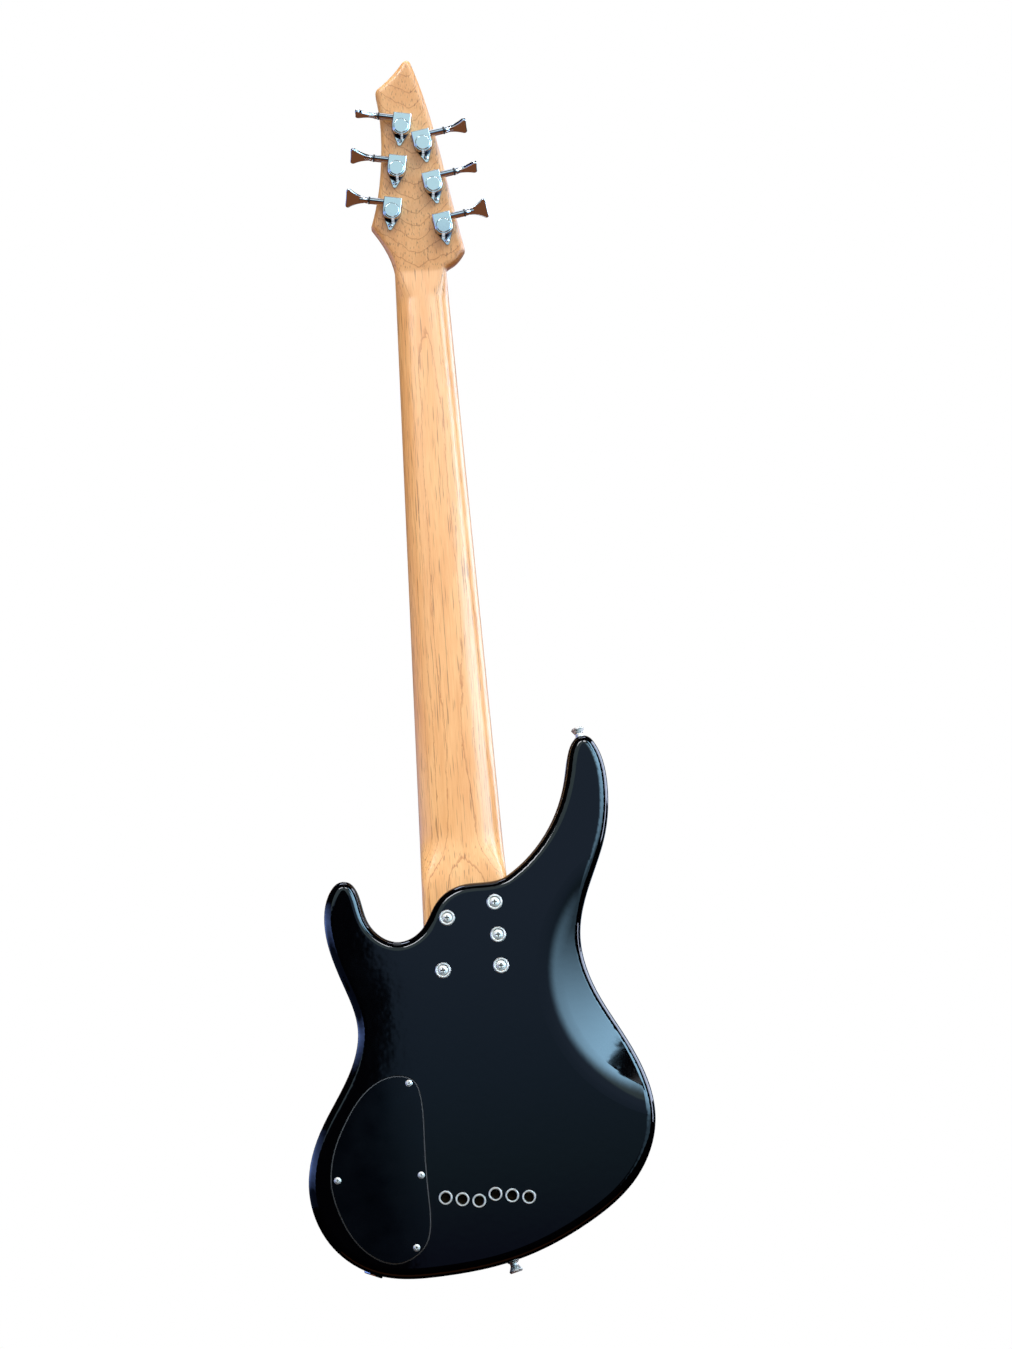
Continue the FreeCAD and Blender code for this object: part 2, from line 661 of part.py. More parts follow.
def make_neck():
    """Neck with headstock and heel, with its truss rod channel and screw holes."""
    back = head_direction()[1]
    head_start = NUT_THICK + HEAD_SETBACK
    sections = [neck_section(V(0, 0, head_start), back, HEAD_THICK,
                             neck_half_width(NUT_THICK), HEEL_ROUND_SHARE)]
    stations = [(SHAFT_TOP, NECK_DEPTH_AT_NUT, SHAFT_ROUND_SHARE)]
    for step in range(HEEL_STEPS + 1):
        ease = (1 - math.cos(math.pi * step / HEEL_STEPS)) / 2
        stations.append((SHAFT_END + (HEEL_START - SHAFT_END) * step / HEEL_STEPS,
                         NECK_DEPTH_AT_HEEL + (HEEL_DEPTH - NECK_DEPTH_AT_HEEL) * ease,
                         SHAFT_ROUND_SHARE + (HEEL_ROUND_SHARE - SHAFT_ROUND_SHARE) * ease))
    stations.append((HEEL_END, HEEL_DEPTH, HEEL_ROUND_SHARE))
    for distance, depth, round_share in stations:
        sections.append(neck_section(V(0, 0, -distance), AXIS_Y, depth,
                                     neck_half_width(-distance), round_share))
    neck = Part.makeLoft(sections, True, True)
    neck = neck.fuse(make_headstock()).removeSplitter()
    channel = box(V(-ROD_RADIUS - ROD_CHANNEL_GAP, -OVERRUN, -ROD_END),
                  V(ROD_RADIUS + ROD_CHANNEL_GAP, ROD_DEPTH + ROD_RADIUS + ROD_CHANNEL_GAP, head_start))
    pocket = box(V(-ROD_POCKET_HALF_WIDTH, -OVERRUN, NUT_THICK + HEAD_SETBACK / 2),
                 V(ROD_POCKET_HALF_WIDTH, ROD_POCKET_DEPTH, ROD_POCKET_TOP))
    cuts = [channel, pocket]
    for x, rise in NECK_BOLT_PLACES:
        distance = HEEL_END - rise
        bolt_floor = HEEL_DEPTH - BOLT_DEPTH_IN_NECK - TIP_ROOM
        cuts.append(rod(BOLT_SHANK_RADIUS + SEAT_GAP, V(x, bolt_floor, -distance),
                        V(x, HEEL_DEPTH + OVERRUN, -distance)))
    for index in range(STRING_COUNT):
        cuts.append(on_tuner(rod(TUNER_BUSHING_RADIUS + SEAT_GAP, V(0, 0, -HEAD_THICK - OVERRUN),
                                 V(0, 0, OVERRUN)), index))
        cuts.append(on_tuner(rod(TUNER_SCREW_RADIUS + SEAT_GAP,
                                 V(0, -TUNER_SCREW_REACH, -TUNER_SCREW_LENGTH),
                                 V(0, -TUNER_SCREW_REACH, OVERRUN)), index))
    frame = head_placement()
    for offset, up in ROD_SCREW_PLACES:
        hole = rod(TUNER_SCREW_RADIUS + SEAT_GAP, V(offset, up, -OVERRUN),
                   V(offset, up, TUNER_SCREW_LENGTH))
        hole.Placement = frame.multiply(hole.Placement)
        cuts.append(hole)
    return neck.cut(cuts)


def board_section(distance):
    """Cross-section of the fingerboard with its arched top."""
    half = neck_half_width(-distance)
    edge_y = -BOARD_THICK + arch_drop(half)
    top = Part.Arc(V(-half, edge_y, -distance), V(0, -BOARD_THICK, -distance), V(half, edge_y, -distance))
    return Part.Wire([
        Part.makeLine(V(-half, 0, -distance), V(-half, edge_y, -distance)),
        top.toShape(),
        Part.makeLine(V(half, edge_y, -distance), V(half, 0, -distance)),
        Part.makeLine(V(half, 0, -distance), V(-half, 0, -distance)),
    ])


def around_board(face, half_width):
    """Turn a fret profile along the arch of the fingerboard."""
    axis_point = V(0, BOARD_RADIUS - BOARD_THICK, 0)
    angle = math.degrees(math.asin(half_width / BOARD_RADIUS))
    start = face.copy()
    start.rotate(axis_point, AXIS_Z, -angle)
    return start.revolve(axis_point, AXIS_Z, 2 * angle)


def tang_points(z):
    """Corners of a fret's tang in the plane through the neck's middle."""
    return [V(0, -BOARD_THICK, z + FRET_TANG_HALF_WIDTH),
            V(0, -BOARD_THICK + FRET_TANG_DEPTH, z + FRET_TANG_HALF_WIDTH),
            V(0, -BOARD_THICK + FRET_TANG_DEPTH, z - FRET_TANG_HALF_WIDTH),
            V(0, -BOARD_THICK, z - FRET_TANG_HALF_WIDTH)]


def make_fret(number):
    """One fret with its crown and tang, and the slot that it sits in."""
    z = -fret_distance(number)
    half = neck_half_width(z)
    low = V(0, -BOARD_THICK, z - FRET_HALF_WIDTH)
    high = V(0, -BOARD_THICK, z + FRET_HALF_WIDTH)
    crown = Part.Arc(low, V(0, -BOARD_THICK - FRET_HEIGHT, z), high).toShape()
    rest = Part.makePolygon([high] + tang_points(z) + [low])
    profile = Part.Face(Part.Wire([crown] + rest.Edges))
    slot = polygon_face(tang_points(z))
    return around_board(profile, half - FRET_END_INSET), around_board(slot, half + OVERRUN)


def make_fingerboard():
    """Fingerboard, frets, face dots and side dots."""
    end = fret_distance(FRET_COUNT) + BOARD_PAST_LAST_FRET
    board = Part.makeLoft([board_section(0), board_section(end)], True, True)
    frets = []
    cuts = []
    for number in range(1, FRET_COUNT + 1):
        fret, slot = make_fret(number)
        frets.append(fret)
        cuts.append(slot)
    dots = []
    side_dots = []
    for number in DOT_FRETS:
        z = -(fret_distance(number) + fret_distance(number - 1)) / 2
        offsets = [-OCTAVE_DOT_OFFSET, OCTAVE_DOT_OFFSET] if number in OCTAVE_FRETS else [0]
        for x in offsets:
            drill = rod(DOT_RADIUS, V(x, -BOARD_THICK - OVERRUN, z),
                        V(x, -BOARD_THICK + arch_drop(x) + DOT_DEPTH, z))
            dots.append(board.common(drill))
            cuts.append(drill)
            edge = -neck_half_width(z)
            side_z = z + x * SIDE_DOT_OFFSET / OCTAVE_DOT_OFFSET
            side_drill = rod(SIDE_DOT_RADIUS, V(edge - OVERRUN, -BOARD_THICK / 2, side_z),
                             V(edge + SIDE_DOT_DEPTH, -BOARD_THICK / 2, side_z))
            side_dots.append(board.common(side_drill))
            cuts.append(side_drill)
    return board.cut(cuts), group(frets), group(dots), group(side_dots)


def string_at_nut(index):
    """Middle of a string over the nut."""
    radius = STRING_DIAMETERS[index] / 2
    x = NUT_STRING_SPREAD * (index / (STRING_COUNT - 1) - HALF)
    lift = BOARD_THICK + FRET_HEIGHT + STRING_LIFT_AT_NUT + radius
    return V(x, arch_drop(x) - lift, NUT_THICK / 2)


def string_at_saddle(index):
    """Middle of a string over its saddle."""
    radius = STRING_DIAMETERS[index] / 2
    x = BRIDGE_STRING_SPREAD * (index / (STRING_COUNT - 1) - HALF)
    return V(x, arch_drop(x) - STRING_LIFT_AT_BRIDGE - radius, -SCALE_LENGTH)


def ferrule_place(index):
    """Offset and height of a string's hole through the body."""
    stagger = FERRULE_STAGGER * ((STRING_COUNT - 1 - index) % FERRULE_STAGGER_COUNT)
    x = string_at_saddle(index).x
    return x, -SCALE_LENGTH - FERRULE_REACH + FERRULE_STAGGER - stagger


def string_tail(index):
    """Start of a string at its ball end and the bend above the bridge plate."""
    x, z = ferrule_place(index)
    seat = BODY_BACK + FERRULE_FLANGE_HEIGHT - FERRULE_BORE_DEPTH
    return V(x, seat, z), V(x, BODY_FRONT - PLATE_THICK - TAIL_BEND_LIFT, z)


def string_path(index):
    """Run of a string from its ball end over saddle and nut and around its post."""
    radius = STRING_DIAMETERS[index] / 2
    seat, bend = string_tail(index)
    nut = string_at_nut(index)
    frame = head_placement()
    local_nut = frame.inverse().multVec(nut)
    offset, up = tuner_place(index)
    inner = -1 if index < TUNERS_PER_SIDE else 1
    wrap = POST_RADIUS + radius + SEAT_GAP
    way = V(offset - local_nut.x, up - local_nut.y, 0)
    lean = math.asin(wrap / way.Length)
    heading = math.atan2(way.y, way.x) - inner * lean
    run = math.sqrt(way.Length ** 2 - wrap ** 2)
    touch = V(local_nut.x + run * math.cos(heading), local_nut.y + run * math.sin(heading), local_nut.z)
    centre = V(offset, up, local_nut.z)
    edges = rounded_path([seat, bend, string_at_saddle(index), nut, frame.multVec(touch)],
                         [TAIL_BEND_RADIUS, SADDLE_BEND_RADIUS, NUT_BEND_RADIUS])
    arm = touch.sub(centre)
    turn = inner * FULL_TURN * WRAP_SHARE_OF_TURN
    points = []
    for share in WRAP_STEP_SHARES:
        points.append(frame.multVec(centre.add(FreeCAD.Rotation(AXIS_Z, turn * share).multVec(arm))))
    edges.append(Part.Arc(points[0], points[1], points[2]).toShape())
    edges.append(Part.Arc(points[2], points[3], points[4]).toShape())
    return edges


def make_strings():
    """Six strings and their ball ends."""
    strings = []
    balls = []
    for index in range(STRING_COUNT):
        strings.append(tube(string_path(index), STRING_DIAMETERS[index] / 2))
        seat = string_tail(index)[0]
        balls.append(rod(BALL_RADIUS, seat, seat.add(AXIS_Y * BALL_HEIGHT)))
    return group(strings), group(balls)


def make_nut():
    """Nut with a slot for each string."""
    half = neck_half_width(0) - NUT_END_INSET
    top = min(string_at_nut(index).y - STRING_DIAMETERS[index] / 2 for index in range(STRING_COUNT))
    nut = box(V(-half, top - NUT_TOP_ABOVE_STRING, 0), V(half, 0, NUT_THICK))
    slots = []
    for index in range(STRING_COUNT):
        radius = STRING_DIAMETERS[index] / 2 + SEAT_GAP
        slots.append(tube(string_path(index)[4:7], radius))
        place = string_at_nut(index)
        slots.append(box(V(place.x - radius, top - OVERRUN, -OVERRUN),
                         V(place.x + radius, place.y, NUT_THICK + OVERRUN)))
    return nut.cut(slots)


def make_truss_rod():
    """Truss rod with its adjusting nut, its cover and the cover's screws."""
    bar = rod(ROD_RADIUS, V(0, ROD_DEPTH, -ROD_END + TIP_ROOM), V(0, ROD_DEPTH, ROD_TOP))
    corners = []
    for number in range(HEX_SIDES):
        angle = math.radians(FULL_TURN * number / HEX_SIDES)
        corners.append(V(ROD_NUT_RADIUS * math.cos(angle), ROD_DEPTH + ROD_NUT_RADIUS * math.sin(angle),
                         ROD_TOP - ROD_NUT_LENGTH))
    bar = bar.fuse(polygon_face(corners).extrude(AXIS_Z * ROD_NUT_LENGTH)).removeSplitter()
    outline = [V(-ROD_COVER_HALF_WIDTH, ROD_COVER_START, 0),
               V(ROD_COVER_HALF_WIDTH, ROD_COVER_START, 0),
               V(ROD_COVER_TIP_HALF_WIDTH, ROD_COVER_END, 0),
               V(-ROD_COVER_TIP_HALF_WIDTH, ROD_COVER_END, 0)]
    cover = polygon_face(outline).extrude(AXIS_Z * -ROD_COVER_THICK)
    upright = [edge for edge in cover.Edges if abs(edge.tangentAt(edge.FirstParameter).z) > HALF]
    cover = cover.makeFillet(ROD_COVER_CORNER, upright)
    screws = []
    frame = head_placement()
    for offset, up in ROD_SCREW_PLACES:
        shank = rod(TUNER_SCREW_RADIUS, V(offset, up, -ROD_COVER_THICK),
                    V(offset, up, TUNER_SCREW_LENGTH - TIP_ROOM))
        head = rod(TUNER_SCREW_HEAD_RADIUS, V(offset, up, -ROD_COVER_THICK - TUNER_SCREW_HEAD_HEIGHT),
                   V(offset, up, -ROD_COVER_THICK))
        cover = cover.cut(rod(TUNER_SCREW_RADIUS + SEAT_GAP, V(offset, up, -OVERRUN),
                              V(offset, up, OVERRUN)))
        top = V(offset, up, -ROD_COVER_THICK - TUNER_SCREW_HEAD_HEIGHT)
        slot = cross_slot(top, AXIS_Z * -1, AXIS_X, SMALL_SLOT_SHARE)
        screw = shank.fuse(head).removeSplitter().cut(slot)
        screw.Placement = frame.multiply(screw.Placement)
        screws.append(screw)
    cover.Placement = frame.multiply(cover.Placement)
    return bar, cover, group(screws)


def outline_curve():
    """Smooth closed curve of the body's outline."""
    curve = Part.BSplineCurve()
    curve.interpolate(Points=[body_place(shares) for shares in BODY_OUTLINE_SHARES], PeriodicFlag=True)
    return curve


def edge_round(radius):
    """Radius for the body's edges, less where the outline bends too tightly for it."""
    curve = outline_curve()
    span = curve.LastParameter - curve.FirstParameter
    bends = [curve.curvature(curve.FirstParameter + span * step / OUTLINE_STEPS)
             for step in range(OUTLINE_STEPS)]
    return min(radius, ROUND_LIMIT_SHARE / max(bends))


def edge_place(shares):
    """Point on the body's outline at mid thickness, and the way out of the body there."""
    curve = outline_curve()
    at = curve.parameter(body_place(shares))
    point = curve.value(at)
    along = curve.tangent(at)[0]
    out = along.cross(AXIS_Y).normalize()
    if out.dot(point.sub(body_place(BODY_MIDDLE_SHARES))) < 0:
        out = out * -1
    return V(point.x, BODY_FRONT + BODY_THICK / 2, point.z), out


def body_blank():
    """Body slab with its belly cut and rounded edges."""
    face = curve_face([body_place(shares, BODY_FRONT) for shares in BODY_OUTLINE_SHARES])
    slab = face.extrude(AXIS_Y * BODY_THICK)
    centre = body_place(BELLY_CENTRE_SHARES, BODY_BACK - BELLY_DEPTH)
    inner_radius = BELLY_RADIUS - BELLY_DEPTH / BELLY_SLOPE
    hollow = Part.makeCone(inner_radius, BELLY_RADIUS, BELLY_DEPTH, centre, AXIS_Y)
    slab = slab.cut(hollow)
    crease = [edge for edge in slab.Edges if edge.Curve.TypeId == "Part::GeomCircle"]
    slab = slab.makeFillet(BELLY_CREASE_ROUND, crease)
    rim = [edge for edge in slab.Edges
           if middle(edge).y > BODY_FRONT + BODY_THICK * RIM_SHARE
           and edge.Curve.TypeId == "Part::GeomBSplineCurve"]
    slab = slab.makeFillet(edge_round(BACK_ROUND), rim)
    front = [edge for edge in slab.Edges if abs(middle(edge).y - BODY_FRONT) < SEAT_GAP]
    return slab.makeFillet(edge_round(FRONT_ROUND), front)


def cover_face(width, length, y):
    """Face with the outline of the control cover, at its place in the body."""
    centre = body_place(COVER_CENTRE_SHARES, y)
    points = [centre.add(V(x * width, 0, z * length)) for x, z in COVER_OUTLINE_SHARES]
    return curve_face(points)


def cover_screw_place(shares):
    """Place of one cover screw on the body's back."""
    centre = body_place(COVER_CENTRE_SHARES, BODY_BACK)
    return centre.add(V(shares[0] * COVER_WIDTH, 0, shares[1] * COVER_LENGTH))


def cavity_place(shares):
    """Offset to the treble side and height of a place given in shares from the cover's centre."""
    centre = body_place(COVER_CENTRE_SHARES)
    return centre.x + shares[0] * COVER_WIDTH, centre.z + shares[1] * COVER_LENGTH


def pocket_cut():
    """Neck pocket, following the taper of the neck."""
    top = -HEEL_EDGE + BODY_THICK
    corners = []
    for z in (top, -HEEL_END - SEAT_GAP):
        half = neck_half_width(z) + SEAT_GAP
        corners.append((half, z))
    points = [V(-corners[0][0], -OVERRUN, corners[0][1]), V(corners[0][0], -OVERRUN, corners[0][1]),
              V(corners[1][0], -OVERRUN, corners[1][1]), V(-corners[1][0], -OVERRUN, corners[1][1])]
    return polygon_face(points).extrude(AXIS_Y * (HEEL_DEPTH + OVERRUN))


def make_body():
    """Body with every pocket and hole."""
    cuts = [pocket_cut()]
    for x, rise in NECK_BOLT_PLACES:
        distance = HEEL_END - rise
        cuts.append(rod(BOLT_SHANK_RADIUS + SEAT_GAP, V(x, HEEL_DEPTH - OVERRUN, -distance),
                        V(x, BODY_BACK + OVERRUN, -distance)))
        cuts.append(rod(CUP_SLEEVE_RADIUS + SEAT_GAP, V(x, BODY_BACK - CUP_SLEEVE_DEPTH, -distance),
                        V(x, BODY_BACK + OVERRUN, -distance)))
    for index in range(STRING_COUNT):
        x, z = ferrule_place(index)
        cuts.append(rod(STRING_HOLE_RADIUS, V(x, BODY_FRONT - OVERRUN, z), V(x, BODY_BACK, z)))
        cuts.append(rod(FERRULE_TUBE_RADIUS + SEAT_GAP, V(x, BODY_BACK - FERRULE_DEPTH, z),
                        V(x, BODY_BACK + OVERRUN, z)))
    for reach in PICKUP_REACHES:
        cuts.append(rounded_box(PICKUP_HALF_LENGTH + PICKUP_ROOM, PICKUP_HALF_WIDTH + PICKUP_ROOM,
                                PICKUP_CORNER, V(0, 0, -reach),
                                BODY_FRONT - OVERRUN, BODY_FRONT + PICKUP_ROUT_DEPTH))
        for x, z in pickup_screw_places(reach):
            cuts.append(rod(PICKUP_SCREW_RADIUS + SEAT_GAP, V(x, BODY_FRONT, z),
                            V(x, BODY_FRONT + PICKUP_ROUT_DEPTH + PICKUP_SCREW_BITE + TIP_ROOM, z)))
    for x, z in plate_screw_places():
        cuts.append(rod(PLATE_SCREW_RADIUS + SEAT_GAP, V(x, BODY_FRONT - OVERRUN, z),
                        V(x, BODY_FRONT + PLATE_SCREW_LENGTH, z)))
    cuts.append(cover_face(COVER_WIDTH, COVER_LENGTH,
                           BODY_BACK - COVER_THICK).extrude(AXIS_Y * (COVER_THICK + OVERRUN)))
    cuts.append(cover_face(COVER_WIDTH * COVER_LEDGE_WIDTH_SHARE, COVER_LENGTH * COVER_LEDGE_LENGTH_SHARE,
                           CAVITY_FLOOR).extrude(AXIS_Y * BODY_THICK))
    for shares in COVER_SCREW_SHARES:
        place = cover_screw_place(shares)
        cuts.append(rod(COVER_SCREW_RADIUS + SEAT_GAP,
                        place.sub(AXIS_Y * (COVER_SCREW_LENGTH + TIP_ROOM)), place))
    for shares in CONTROL_SHARES:
        x, z = cavity_place(shares)
        cuts.append(rod(BUSHING_RADIUS + SEAT_GAP, V(x, BODY_FRONT - OVERRUN, z),
                        V(x, CAVITY_FLOOR + OVERRUN, z)))
    for reach, start, shares in zip(PICKUP_REACHES, PICKUP_HOLE_STARTS, PICKUP_HOLE_END_SHARES):
        x, z = cavity_place(shares)
        cuts.append(rod(LEAD_HOLE_RADIUS, V(start[0], PICKUP_LEAD_DEPTH, -reach - start[1]),
                        V(x, PICKUP_LEAD_DEPTH, z)))
    point, out = edge_place(JACK_PLACE_SHARES)
    cuts.append(rod(JACK_FLANGE_RADIUS + SEAT_GAP, point.sub(out * JACK_SEAT_DEPTH),
                    point.add(out * OVERRUN * 2)))
    cuts.append(rod(JACK_BARREL_RADIUS + SEAT_GAP, point.sub(out * (JACK_BARREL_LENGTH + OVERRUN)),
                    point))
    for shares in (STRAP_HORN_SHARES, STRAP_TAIL_SHARES):
        point, out = edge_place(shares)
        cuts.append(rod(STRAP_BASE_RADIUS + SEAT_GAP, point.sub(out * STRAP_SEAT_DEPTH),
                        point.add(out * OVERRUN * 2)))
        cuts.append(rod(STRAP_SCREW_RADIUS + SEAT_GAP, point.sub(out * STRAP_SCREW_LENGTH), point))
    return body_blank().cut(cuts)


def cross_slot(place, way, side, share=1):
    """Cross recess in a screw head, cut down from its top."""
    other = way.cross(side)
    length = CROSS_SLOT_LENGTH * share
    width = CROSS_SLOT_WIDTH * share
    bars = []
    for long_way, short_way in ((side, other), (other, side)):
        corner = place.sub(long_way * (length / 2)).sub(short_way * (width / 2))
        far = corner.add(long_way * length)
        points = [corner, far, far.add(short_way * width), corner.add(short_way * width)]
        bars.append(polygon_face(points).extrude(way * (-CROSS_SLOT_DEPTH * share)))
    return bars[0].fuse(bars[1])


def make_neck_bolts():
    """Five neck bolts and the cup washers under their heads."""
    bolts = []
    cups = []
    seat = CUP_HEIGHT - BOLT_HEAD_HEIGHT + BOLT_HEAD_DOME
    for x, rise in NECK_BOLT_PLACES:
        place = V(x, BODY_BACK, rise - HEEL_END)
        reach = BODY_BACK - HEEL_DEPTH + BOLT_DEPTH_IN_NECK
        bolt = lathe([(0, -reach), (BOLT_SHANK_RADIUS, -reach + BOLT_SHANK_RADIUS),
                      (BOLT_SHANK_RADIUS, seat - BOLT_HEAD_HEIGHT / 2),
                      (BOLT_HEAD_RADIUS, CUP_HEIGHT - BOLT_HEAD_DOME),
                      (BOLT_HEAD_RADIUS * HALF, CUP_HEIGHT), (0, CUP_HEIGHT)], place, AXIS_Y)
        bolts.append(bolt.cut(cross_slot(place.add(AXIS_Y * CUP_HEIGHT), AXIS_Y, AXIS_X)))
        cups.append(lathe([(BOLT_SHANK_RADIUS + SEAT_GAP, -CUP_SLEEVE_DEPTH),
                           (CUP_SLEEVE_RADIUS, -CUP_SLEEVE_DEPTH),
                           (CUP_SLEEVE_RADIUS, 0), (CUP_RADIUS, 0),
                           (CUP_RADIUS, CUP_HEIGHT - CUP_RIM_ROUND),
                           (CUP_RADIUS - CUP_RIM_ROUND, CUP_HEIGHT),
                           (BOLT_HEAD_RADIUS + SEAT_GAP + CUP_MOUTH, CUP_HEIGHT),
                           (BOLT_HEAD_RADIUS + SEAT_GAP, CUP_HEIGHT - BOLT_HEAD_DOME),
                           (BOLT_SHANK_RADIUS + SEAT_GAP, seat - BOLT_HEAD_HEIGHT / 2)], place, AXIS_Y))
    return group(bolts), group(cups)


def make_ferrules():
    """Six ferrules that hold the string ends in the back."""
    ferrules = []
    top = FERRULE_FLANGE_HEIGHT
    for index in range(STRING_COUNT):
        x, z = ferrule_place(index)
        profile = [(STRING_HOLE_RADIUS, -FERRULE_DEPTH), (FERRULE_TUBE_RADIUS, -FERRULE_DEPTH),
                   (FERRULE_TUBE_RADIUS, 0), (FERRULE_FLANGE_RADIUS, 0),
                   (FERRULE_FLANGE_RADIUS, top - FERRULE_RIM),
                   (FERRULE_FLANGE_RADIUS - FERRULE_RIM, top),
                   (FERRULE_BORE_RADIUS + FERRULE_RIM, top),
                   (FERRULE_BORE_RADIUS, top - FERRULE_RIM),
                   (FERRULE_BORE_RADIUS, top - FERRULE_BORE_DEPTH),
                   (STRING_HOLE_RADIUS, top - FERRULE_BORE_DEPTH)]
        ferrules.append(lathe(profile, V(x, BODY_BACK, z), AXIS_Y))
    return group(ferrules)


def plate_screw_places():
    """Places of the four bridge screws."""
    half = BRIDGE_STRING_SPREAD / 2 + PLATE_SIDE_MARGIN - PLATE_SCREW_MARGIN
    return [(side * half, -SCALE_LENGTH - reach) for side in (-1, 1) for reach in PLATE_SCREW_REACHES]


def make_bridge():
    """Bridge plate with its rear wall, its screws and the intonation screws."""
    half = BRIDGE_STRING_SPREAD / 2 + PLATE_SIDE_MARGIN
    top = BODY_FRONT - PLATE_THICK
    low = -SCALE_LENGTH - PLATE_REAR_REACH
    high = -SCALE_LENGTH + PLATE_FRONT_REACH
    plate = rounded_box(half, (high - low) / 2, PLATE_CORNER, V(0, 0, (high + low) / 2), top, BODY_FRONT)
    wall = box(V(-half + PLATE_CORNER, top - PLATE_WALL_HEIGHT, low),
               V(half - PLATE_CORNER, top + PLATE_THICK / 2, low + PLATE_WALL_THICK))
    plate = plate.fuse(wall).removeSplitter()
    cuts = []
    screws = []
    intonation = []
    for index in range(STRING_COUNT):
        x, z = ferrule_place(index)
        cuts.append(rod(PLATE_HOLE_RADIUS, V(x, top - OVERRUN / 2, z), V(x, BODY_FRONT + OVERRUN, z)))
        side = string_at_saddle(index).x + INTONATION_OFFSET
        y = top - INTONATION_HEIGHT
        cuts.append(rod(INTONATION_RADIUS + SEAT_GAP, V(side, y, low - OVERRUN),
                        V(side, y, low + OVERRUN)))
        shank = rod(INTONATION_RADIUS, V(side, y, low), V(side, y, -SCALE_LENGTH - INTONATION_TIP))
        head = rod(INTONATION_HEAD_RADIUS, V(side, y, low - INTONATION_HEAD_HEIGHT), V(side, y, low))
        slot = cross_slot(V(side, y, low - INTONATION_HEAD_HEIGHT), AXIS_Z * -1, AXIS_X)
        intonation.append(shank.fuse(head).removeSplitter().cut(slot))
    for x, z in plate_screw_places():
        cuts.append(rod(PLATE_SCREW_RADIUS + SEAT_GAP, V(x, top - OVERRUN, z),
                        V(x, BODY_FRONT + OVERRUN, z)))
        shank = rod(PLATE_SCREW_RADIUS, V(x, top, z), V(x, top + PLATE_SCREW_LENGTH, z))
        head = rod(PLATE_SCREW_HEAD_RADIUS, V(x, top - PLATE_SCREW_HEAD_HEIGHT, z), V(x, top, z))
        slot = cross_slot(V(x, top - PLATE_SCREW_HEAD_HEIGHT, z), AXIS_Y * -1, AXIS_X, PLATE_SLOT_SHARE)
        screws.append(shank.fuse(head).removeSplitter().cut(slot))
    return plate.cut(cuts), group(screws), group(intonation)


def make_saddle(index):
    """One saddle with its two height screws."""
    place = string_at_saddle(index)
    floor = BODY_FRONT - PLATE_THICK - MOVING_GAP
    rear = place.z - SADDLE_REAR
    front = place.z + SADDLE_FRONT
    left = place.x - SADDLE_HALF_WIDTH
    rear_top = V(left, place.y + SADDLE_REAR_DROP, rear)
    front_top = V(left, place.y + SADDLE_FRONT_DROP, front)
    top = Part.Arc(rear_top, V(left, place.y, place.z), front_top).toShape()
    rest = Part.makePolygon([front_top, V(left, floor, front), V(left, floor, rear), rear_top])
    block = Part.Face(Part.Wire([top] + rest.Edges)).extrude(AXIS_X * (2 * SADDLE_HALF_WIDTH))
    room = STRING_DIAMETERS[index] / 2 + SADDLE_STRING_ROOM
    cuts = [tube(string_path(index)[2:5], room)]
    y = BODY_FRONT - PLATE_THICK - INTONATION_HEIGHT
    side = place.x + INTONATION_OFFSET
    cuts.append(rod(INTONATION_RADIUS + RUNNING_GAP, V(side, y, rear - OVERRUN),
                    V(side, y, place.z + INTONATION_BORE_END)))
    pieces = []
    for offset in (-SETSCREW_OFFSET, SETSCREW_OFFSET):
        x = place.x + offset
        z = place.z + SETSCREW_REACH
        crown = place.y + SADDLE_FRONT_DROP
        cuts.append(rod(SETSCREW_RADIUS + SEAT_GAP, V(x, crown - OVERRUN, z), V(x, floor + OVERRUN, z)))
        pieces.append(rod(SETSCREW_RADIUS, V(x, crown + SETSCREW_RECESS, z), V(x, floor, z)))
    return group([block.cut(cuts)] + pieces)


def pickup_screw_places(reach):
    """Places of the four screws of one pickup."""
    x = PICKUP_HALF_LENGTH - PICKUP_SCREW_INSET
    z = PICKUP_HALF_WIDTH - PICKUP_SCREW_INSET
    return [(i * x, -reach + j * z) for i in (-1, 1) for j in (-1, 1)]


